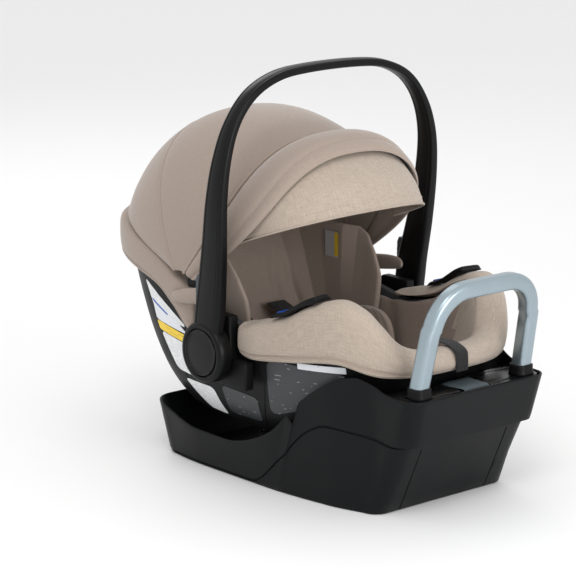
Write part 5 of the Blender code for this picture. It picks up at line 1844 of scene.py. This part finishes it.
# ------------------------------------------------------------------------------------------------ the inserts
@dataclass
class Inserts:
    """The head and back pad with its concentric seams, and the body support with its wings."""

    stations: tuple[tuple[float, ...], ...] = (
        (0.1305, 0.010, 0.1395, 0.008, 0.212, 0.272, 0.0, 0.12),
        (0.1305, 0.028, 0.1395, 0.028, 0.204, 0.308, 0.0, 0.12),
        (0.1305, 0.048, 0.1395, 0.048, 0.198, 0.334, 0.0, 0.12),
        (0.1290, 0.066, 0.1380, 0.066, 0.196, 0.344, 0.0, 0.11),
        (0.1245, 0.090, 0.1340, 0.090, 0.196, 0.346, 0.0, 0.02),
        (0.1225, 0.125, 0.1320, 0.130, 0.196, 0.347, 0.15, 0.0),
        (0.116, 0.155, 0.122, 0.180, 0.196, 0.345, 0.35, 0.0),
        (0.098, 0.176, 0.105, 0.212, 0.180, 0.343, 0.50, 0.0),
        (0.060, 0.186, 0.060, 0.228, 0.160, 0.343, 0.50, 0.0),
        (0.0, 0.188, 0.0, 0.230, 0.155, 0.343, 0.50, 0.0),
    )
    seams: tuple[tuple[float, float], ...] = ((0.100, 0.118), (0.074, 0.088))
    lean_level: float = 0.250
    tag_x: float = 0.1218

    def station(self, share: float, columns: Sequence[Sequence[float]]) -> list[float]:
        """Reads the pad's sizes smoothly at a place from one wing's tip, 0, to the other's, 1."""
        place = (1 - abs(1 - 2 * share)) * (len(columns) - 1)
        low = min(int(place), len(columns) - 2)
        t = place - low
        eased = 0.5 * t + 0.5 * t * t * (3 - 2 * t)
        return [q + (r - q) * eased for q, r in zip(columns[low], columns[low + 1])]

    def build_head(self) -> None:
        """Builds the head pad, whose wings reach forward, with stepped channels round the head's place."""
        rings, count = [], 150
        turn = full_turn(56)
        for index in range(count + 1):
            share = index / count
            side = RIGHT if share < 0.5 else LEFT
            face_x, face_y, back_x, back_y, low, high, lean, spread = self.station(share, self.stations)
            face_x, back_x = max(face_x, 0.0), max(back_x, 0.0)
            tip = rounded_end(min(share, 1 - share) / 0.02)
            middle = (low + high) / 2
            ring = []
            for ca, sa in turn:
                z = middle + (high - low) / 2 * powered(sa, 0.55) * (0.82 + 0.18 * tip)
                depth = 0.5 + 0.5 * powered(ca, 0.6) * (0.3 + 0.7 * tip)
                x, y = face_x + (back_x - face_x) * depth, face_y + (back_y - face_y) * depth
                above = z - self.lean_level
                point = Vector((side * (x + spread * above), y + lean * above, z))
                if depth < 0.5:
                    point.y += self.sunk(point)
                ring.append(point)
            rings.append(ring)
        pad = make("head_pad", ring_skin(rings, caps=True), KNIT, "carrier", ["head_insert"],
                   60.0)
        rounded_off(pad)
        for side, tag in SIDES:
            x = side * self.tag_x
            sheet = block((x - 0.0005, 0.094, 0.290), (x + 0.0005, 0.124, 0.332))
            make(f"care_tag_{tag}", sheet, PAPER, "carrier")
            band = block((x - 0.0007, 0.094, 0.292), (x + 0.0007, 0.102, 0.331))
            make(f"care_tag_band_{tag}", band, YELLOW_PRINT, "carrier")

    def sunk(self, point: Vector) -> float:
        """Gives how deep the pad's face lies at a point: steps down to the head, with a groove at each."""
        depth = 0.0
        for half, rise in self.seams:
            reach = math.hypot(point.x / half, max(point.z - 0.205, -0.02) / rise)
            depth += 0.0060 * blend_between(1.02, 0.97, reach)
            depth += 0.0050 * math.exp(-((reach - 1) / 0.020) ** 2)
        return depth

    def build_body(self) -> None:
        """Builds the body support: a curved pad whose wings stand up beside the hips."""
        half = [(0.112, 0.227), (0.111, 0.200), (0.104, 0.166), (0.078, 0.138), (0.040, 0.128), (0.0, 0.126)]
        points = [(x, 0.005, z) for x, z in half] + [(-x, 0.005, z) for x, z in reversed(half[:-1])]
        path = smooth_path(points, 8)
        last = len(path) - 1
        rings = sweep(path, lambda i: self.body_section(i, last), Y_AXIS)
        pad = make("body_pad", ring_skin(rings, caps=True), KNIT, "carrier", ["body_insert"],
                   60.0)
        rounded_off(pad)

    def body_section(self, index: int, last: int) -> list[tuple[float, float]]:
        """Gives the pad's section, with two sewn channels and rounded ends to the wings."""
        share = min(index, last - index) / 16
        width = 0.120 * rounded_end(share + 0.02)
        made = []
        for ca, sa in full_turn(36):
            across = width / 2 * powered(ca, 0.7)
            up = 0.0068 * powered(sa, 0.6)
            for seam in (0.50, 0.76):
                up *= 1 - 0.55 * math.exp(-((abs(across) / (width / 2) - seam) / 0.045) ** 2)
            made.append((across, up))
        return made

    def build(self) -> None:
        """Builds both inserts."""
        self.build_head()
        self.build_body()


# ------------------------------------------------------------------------------------------------ the harness
@dataclass
class Harness:
    """Shoulder straps, chest clip, crotch strap, buckle and the adjuster strap at the foot end."""

    width: float = 0.038
    thick: float = 0.0025
    tail_width: float = 0.024
    buckle_y: float = -0.105
    buckle_z: float = 0.166

    def strap(self, name: str, points: Sequence[Sequence[float]], width: float, node: str) -> None:
        """Builds one strap of flat webbing with thicker selvedges.

        Args:
            name: the piece's name.
            points: the points it follows.
            width: the webbing's width.
            node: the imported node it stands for.
        """
        thick = self.thick
        section = []
        for sign in (1, -1):
            for k in range(13):
                across = 1 - 2 * k / 12
                edge = 0.25 * blend_between(0.86, 0.93, abs(across)) * blend_between(1.02, 0.95, abs(across))
                roll = 0.35 if abs(across) > 0.99 else 1.0
                section.append((sign * across * width / 2, sign * thick / 2 * (0.8 + edge) * roll))
        path = smooth_path(points, 12)
        rings = sweep(path, lambda index: section, X_AXIS)
        made = make(name, ring_skin(rings, caps=True), WEBBING, "carrier", [node])

    def build(self) -> None:
        """Builds the whole harness."""
        top = self.buckle_z + 0.006
        for side, tag in SIDES:
            points = [(side * 0.048, 0.162, 0.2165), (side * 0.048, 0.070, 0.190),
                      (side * 0.046, 0.0, 0.176), (side * 0.040, -0.060, top)]
            self.strap(f"shoulder_strap_{tag}", points, self.width, f"harness_strap_{tag}")
        self.strap("crotch_web", [(0.0, -0.158, 0.134), (0.0, -0.142, 0.146),
                                  (0.0, self.buckle_y - 0.027, self.buckle_z)], self.width, "crotch_strap")
        front, crown = FORM.front - 0.019, FORM.rim_line[0][1] + 0.020
        points = [(0.0, FORM.front + 0.040, crown + 0.001), (0.0, FORM.front + 0.008, crown + 0.002),
                  (0.0, front + 0.004, crown - 0.006), (0.0, front, crown - 0.018),
                  (0.0, front, crown - 0.036)]
        self.strap("adjuster_web", points, self.tail_width, "adjuster_strap")
        dress_nodes(TRIM_BLACK, "chest_clip", "buckle_body")
        dress_nodes(SIGNAL_RED, "buckle_button")


# ------------------------------------------------------------------------------------------------ the canopy
@dataclass(frozen=True)
class Hoop:
    """One hoop: where it ends, its top, half its width, its squareness and its flanks' bulge."""

    end: tuple[float, float]
    top: tuple[float, float]
    half: float
    power: float
    bulge: float = 0.0

    def points(self, count: int, grow: float = 0.0) -> Ring:
        """Gives the hoop's points from -X to +X, moved outwards by grow."""
        made = []
        reach = math.hypot(self.top[0] - self.end[0], self.top[1] - self.end[1])
        for k in range(count + 1):
            angle = math.pi * k / count
            across = -powered(math.cos(angle), 2 / self.power)
            rise = abs(math.sin(angle)) ** (2 / self.power)
            share = rise * (reach + grow) / reach
            made.append(Vector((
                (self.half + grow) * across,
                self.end[0] + (self.top[0] - self.end[0]) * share + self.bulge * math.sin(math.pi * rise),
                self.end[1] + (self.top[1] - self.end[1]) * share,
            )))
        return evened(made, count)


def evened(path: Ring, count: int) -> Ring:
    """Spaces points evenly along a path."""
    run = run_along(path)
    wanted = np.linspace(0, run[-1], count + 1)
    columns = [np.interp(wanted, run, [p[axis] for p in path]) for axis in range(3)]
    return [Vector(tuple(map(float, p))) for p in zip(*columns)]


DOME_HOOPS = (
    Hoop((0.134, 0.304), (0.341, 0.385), 0.178, 3.2),
    Hoop((0.134, 0.306), (0.329, 0.430), 0.183, 2.7),
    Hoop((0.131, 0.308), (0.297, 0.480), 0.186, 2.4),
    Hoop((0.127, 0.309), (0.240, 0.520), 0.186, 2.35),
    Hoop((0.122, 0.310), (0.175, 0.543), 0.186, 2.3),
    Hoop((0.118, 0.310), (0.112, 0.546), 0.186, 2.3, -0.004),
    Hoop((0.113, 0.310), (0.053, 0.534), 0.186, 2.3, -0.010),
    Hoop((0.107, 0.310), (0.004, 0.515), 0.186, 2.3, -0.020),
)
BRIM_HOOPS = (
    Hoop((0.103, 0.308), (0.0015, 0.515), 0.186, 2.3, -0.022),
    Hoop((0.098, 0.306), (-0.030, 0.524), 0.186, 2.35, -0.030),
    Hoop((0.092, 0.302), (-0.062, 0.522), 0.186, 2.4, -0.036),
    Hoop((0.086, 0.298), (-0.084, 0.504), 0.183, 2.4, -0.040),
)
VISOR_HOOPS = (
    Hoop((0.004, 0.398), (-0.058, 0.505), 0.160, 2.4),
    Hoop((0.003, 0.388), (-0.080, 0.491), 0.161, 2.4),
    Hoop((0.002, 0.379), (-0.117, 0.462), 0.160, 2.4),
    Hoop((0.003, 0.369), (-0.143, 0.423), 0.159, 2.4),
)


@dataclass
class Canopy:
    """The dome, its padded brim, the flip-out visor and the sleeves over its hinges."""

    around: int = 96
    cloth: float = 0.0028

    def lofted(self, hoops: Sequence[Hoop], steps: int) -> list[Ring]:
        """Draws rows of points smoothly through hoops."""
        columns = [smooth_path(column, steps) for column in zip(*(h.points(self.around) for h in hoops))]
        return [list(row) for row in zip(*columns)]

    def cloth_of(self, rows: Sequence[Ring], thick: float) -> bmesh.types.BMesh:
        """Gives rows of points a thickness inwards."""
        bm = ring_skin(rows, closed=False)
        middle = Vector((0, 0.10, 0.34))
        if sum(f.normal.dot(f.calc_center_median() - middle) for f in bm.faces) < 0:
            bmesh.ops.reverse_faces(bm, faces=bm.faces)
        bmesh.ops.solidify(bm, geom=bm.faces[:], thickness=thick)
        bmesh.ops.recalc_face_normals(bm, faces=bm.faces)
        return bm

    def build_dome(self) -> None:
        """Builds the dome as one curved sheet, with a seam over it and a piped edge at the brim."""
        steps = 9
        rows = self.lofted(DOME_HOOPS, steps)
        middle = Vector((0, 0.10, 0.32))
        for index, row in enumerate(rows):
            near_seam = 0.0011 * math.exp(-((index - 3 * steps) / 1.1) ** 2)
            for k, point in enumerate(row):
                row[k] = point - (point - middle).normalized() * near_seam
        dome = make("dome", self.cloth_of(rows, self.cloth), KNIT, "canopy", (), 60.0,
                    ride=False)
        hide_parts("canopy_dome")
        rounded_off(dome)
        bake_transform(dome)
        brim_edge = self.lofted(BRIM_HOOPS[:2], 1)[0]
        joint = [a.lerp(b, 0.5) for a, b in zip(rows[-1], brim_edge)]
        for name, line, radius in (("dome_seam", rows[3 * steps], 0.0009), ("dome_piping", joint, 0.0030)):
            path = [p + (p - middle).normalized() * 0.0002 for p in line]
            cord = make(name, tube(path, radius), PIPING, "canopy", (), ride=False)
            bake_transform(cord)

    def build_brim(self) -> None:
        """Builds the brim: a wide padded band with a rolled front edge."""
        steps = 8
        rows = self.lofted(BRIM_HOOPS, steps)
        middle = Vector((0, 0.06, 0.34))
        last = len(rows) - 1
        rings = []
        for k in range(self.around + 1):
            outer, inner = [], []
            for index, row in enumerate(rows):
                share = index / last
                point = row[k]
                before, after = rows[max(index - 1, 0)][k], rows[min(index + 1, last)][k]
                along = (after - before).normalized()
                across = (row[min(k + 1, self.around)] - row[max(k - 1, 0)]).normalized()
                up = across.cross(along).normalized()
                if up.dot(point - middle) < 0:
                    up = -up
                swell = 0.0045 * math.sin(math.pi * min(share / 0.74, 1.0)) ** 0.8
                roll = 0.0022 * math.sin(math.pi * min(max((share - 0.76) / 0.24, 0.0), 1.0)) ** 0.7
                outer.append(point + up * (swell + roll - 0.001))
                inner.append(point - up * (0.0045 + 0.001 * math.sin(math.pi * share)))
            forward = (rows[last][k] - rows[last - 1][k]).normalized()
            nose = [outer[-1].lerp(inner[-1], t) + forward * 0.0026 * math.sin(math.pi * t)
                    for t in (0.2, 0.5, 0.8)]
            rings.append(outer + nose + list(reversed(inner)))
        brim = make("brim", ring_skin(rings, caps=True), KNIT, "canopy", ["canopy_brim"],
                    60.0)
        rounded_off(brim)
        seam = [ring[int(last * 0.76)] for ring in rings]
        fine = smooth_path(seam[2:-2], 6)
        make("brim_stitches", stitches(fine, lambda i: fine[i] - middle), DARK_THREAD, "canopy", ())

    def build_visor(self) -> None:
        """Builds the flip-out visor with its bound hem."""
        rows = self.lofted(VISOR_HOOPS, 10)
        visor = make("visor_cloth", self.cloth_of(rows, 0.0022), MELANGE, "visor", ["visor"],
                     60.0)
        rounded_off(visor)
        make("visor_hem", tube(rows[-1], 0.0017, 10), MELANGE, "visor", ())
        line = smooth_path(rows[-5], 4)
        middle = Vector((0, 0.06, 0.34))
        lifted = [p + (p - middle).normalized() * 0.0003 for p in line]
        make("visor_stitches", stitches(lifted, lambda i: lifted[i] - middle), THREAD, "visor", ())

    def build_sleeves(self) -> None:
        """Builds the padded sleeves over the hinges."""
        for side, tag in SIDES:
            inner = 0.1815
            path = smooth_path([(side * (inner + out), y, z) for out, y, z in (
                (0.004, 0.134, 0.268), (0.0062, 0.110, 0.272), (0.0066, 0.070, 0.279),
                (0.0058, 0.030, 0.284), (0.003, 0.010, 0.285))], 12)
            last = len(path) - 1

            def section(index: int) -> list[tuple[float, float]]:
                """Gives the sleeve's oval, closing at both ends."""
                share = index / last
                size = math.sqrt(max(math.sin(math.pi * (0.04 + 0.92 * share)), 0.0))
                return [(0.0052 * size * ca, 0.0125 * size * sa) for ca, sa in full_turn(24)]

            rings = sweep(path, section, X_AXIS)
            sleeve = make(f"hinge_sleeve_{tag}", ring_skin(rings, caps=True), KNIT, "carrier",
                          [f"canopy_skirt_{tag}"], 60.0)

    def build(self) -> None:
        """Builds the whole canopy."""
        self.build_dome()
        self.build_brim()
        self.build_visor()
        self.build_sleeves()
        dress_nodes(TRIM_BLACK, "canopy_mount_left", "canopy_mount_right")


# ------------------------------------------------------------------------------------------------ the studio
@dataclass
class Studio:
    """The pale floor, the soft lights and the camera."""

    target: tuple[float, float, float] = (0.0, 0.0757542, 0.2619159)
    azimuth: float = -40.8542905
    elevation: float = 13.1453064
    distance: float = 3.9471788
    lens: float = 156.309

    def build_floor(self) -> None:
        """Lays a wide, flat floor."""
        bm = bmesh.new()
        bmesh.ops.create_grid(bm, x_segments=2, y_segments=2, size=60.0)
        floor = meshed("studio_floor", bm)
        floor.data.materials.append(STUDIO_FLOOR.material())

    def build_world(self) -> None:
        """Lights the surroundings evenly."""
        world = bpy.data.worlds.new("studio")
        world.use_nodes = True
        background = world.node_tree.nodes["Background"]
        background.inputs["Color"].default_value = (1.0, 1.0, 1.0, 1.0)
        background.inputs["Strength"].default_value = 0.95
        bpy.context.scene.world = world

    def light(self, name: str, place: Sequence[float], size: float, power: float,
              aim: Sequence[float]) -> None:
        """Hangs one soft area light.

        Args:
            name: the light's name.
            place: where it hangs.
            size: how wide it is.
            power: its power in watts.
            aim: the point it faces.
        """
        data = bpy.data.lights.new(name, "AREA")
        data.shape = "SQUARE"
        data.size = size
        data.energy = power
        lamp = linked(name, data)
        lamp.location = place
        lamp.rotation_euler = (Vector(aim) - Vector(place)).to_track_quat("-Z", "Y").to_euler()

    def build_camera(self) -> None:
        """Sets the camera at its bearing from the target."""
        turn, rise = math.radians(self.azimuth), math.radians(self.elevation)
        back = Vector((math.sin(turn) * math.cos(rise), -math.cos(turn) * math.cos(rise), math.sin(rise)))
        data = bpy.data.cameras.new("camera")
        data.sensor_width = 36.0
        data.lens = self.lens
        data.clip_end = 120.0
        camera = linked("camera", data)
        camera.location = Vector(self.target) + back * self.distance
        camera.rotation_euler = (-back).to_track_quat("-Z", "Y").to_euler()
        bpy.context.scene.camera = camera

    def build(self) -> None:
        """Sets the whole studio."""
        self.build_camera()
        self.build_floor()
        self.build_world()
        aim = (0.0, 0.0, 0.25)
        self.light("key", (-1.6, -1.4, 2.7), 1.2, 22.0, aim)
        self.light("front_fill", (-0.2, -2.4, 0.75), 1.3, 24.0, (0.0, 0.1, 0.30))
        self.light("rear_rim", (0.9, 2.4, 2.2), 1.4, 12.0, aim)
        bpy.context.scene.view_settings.view_transform = "Standard"


def main() -> None:
    """Builds the studio and every sub-assembly."""
    logging.basicConfig(level=logging.INFO, format="%(name)s: %(message)s")
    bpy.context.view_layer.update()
    Studio().build()
    for assembly in (Base, Handle, Carrier, Covers, Inserts, Harness, Canopy):
        assembly().build()


if __name__ == "__main__":
    main()
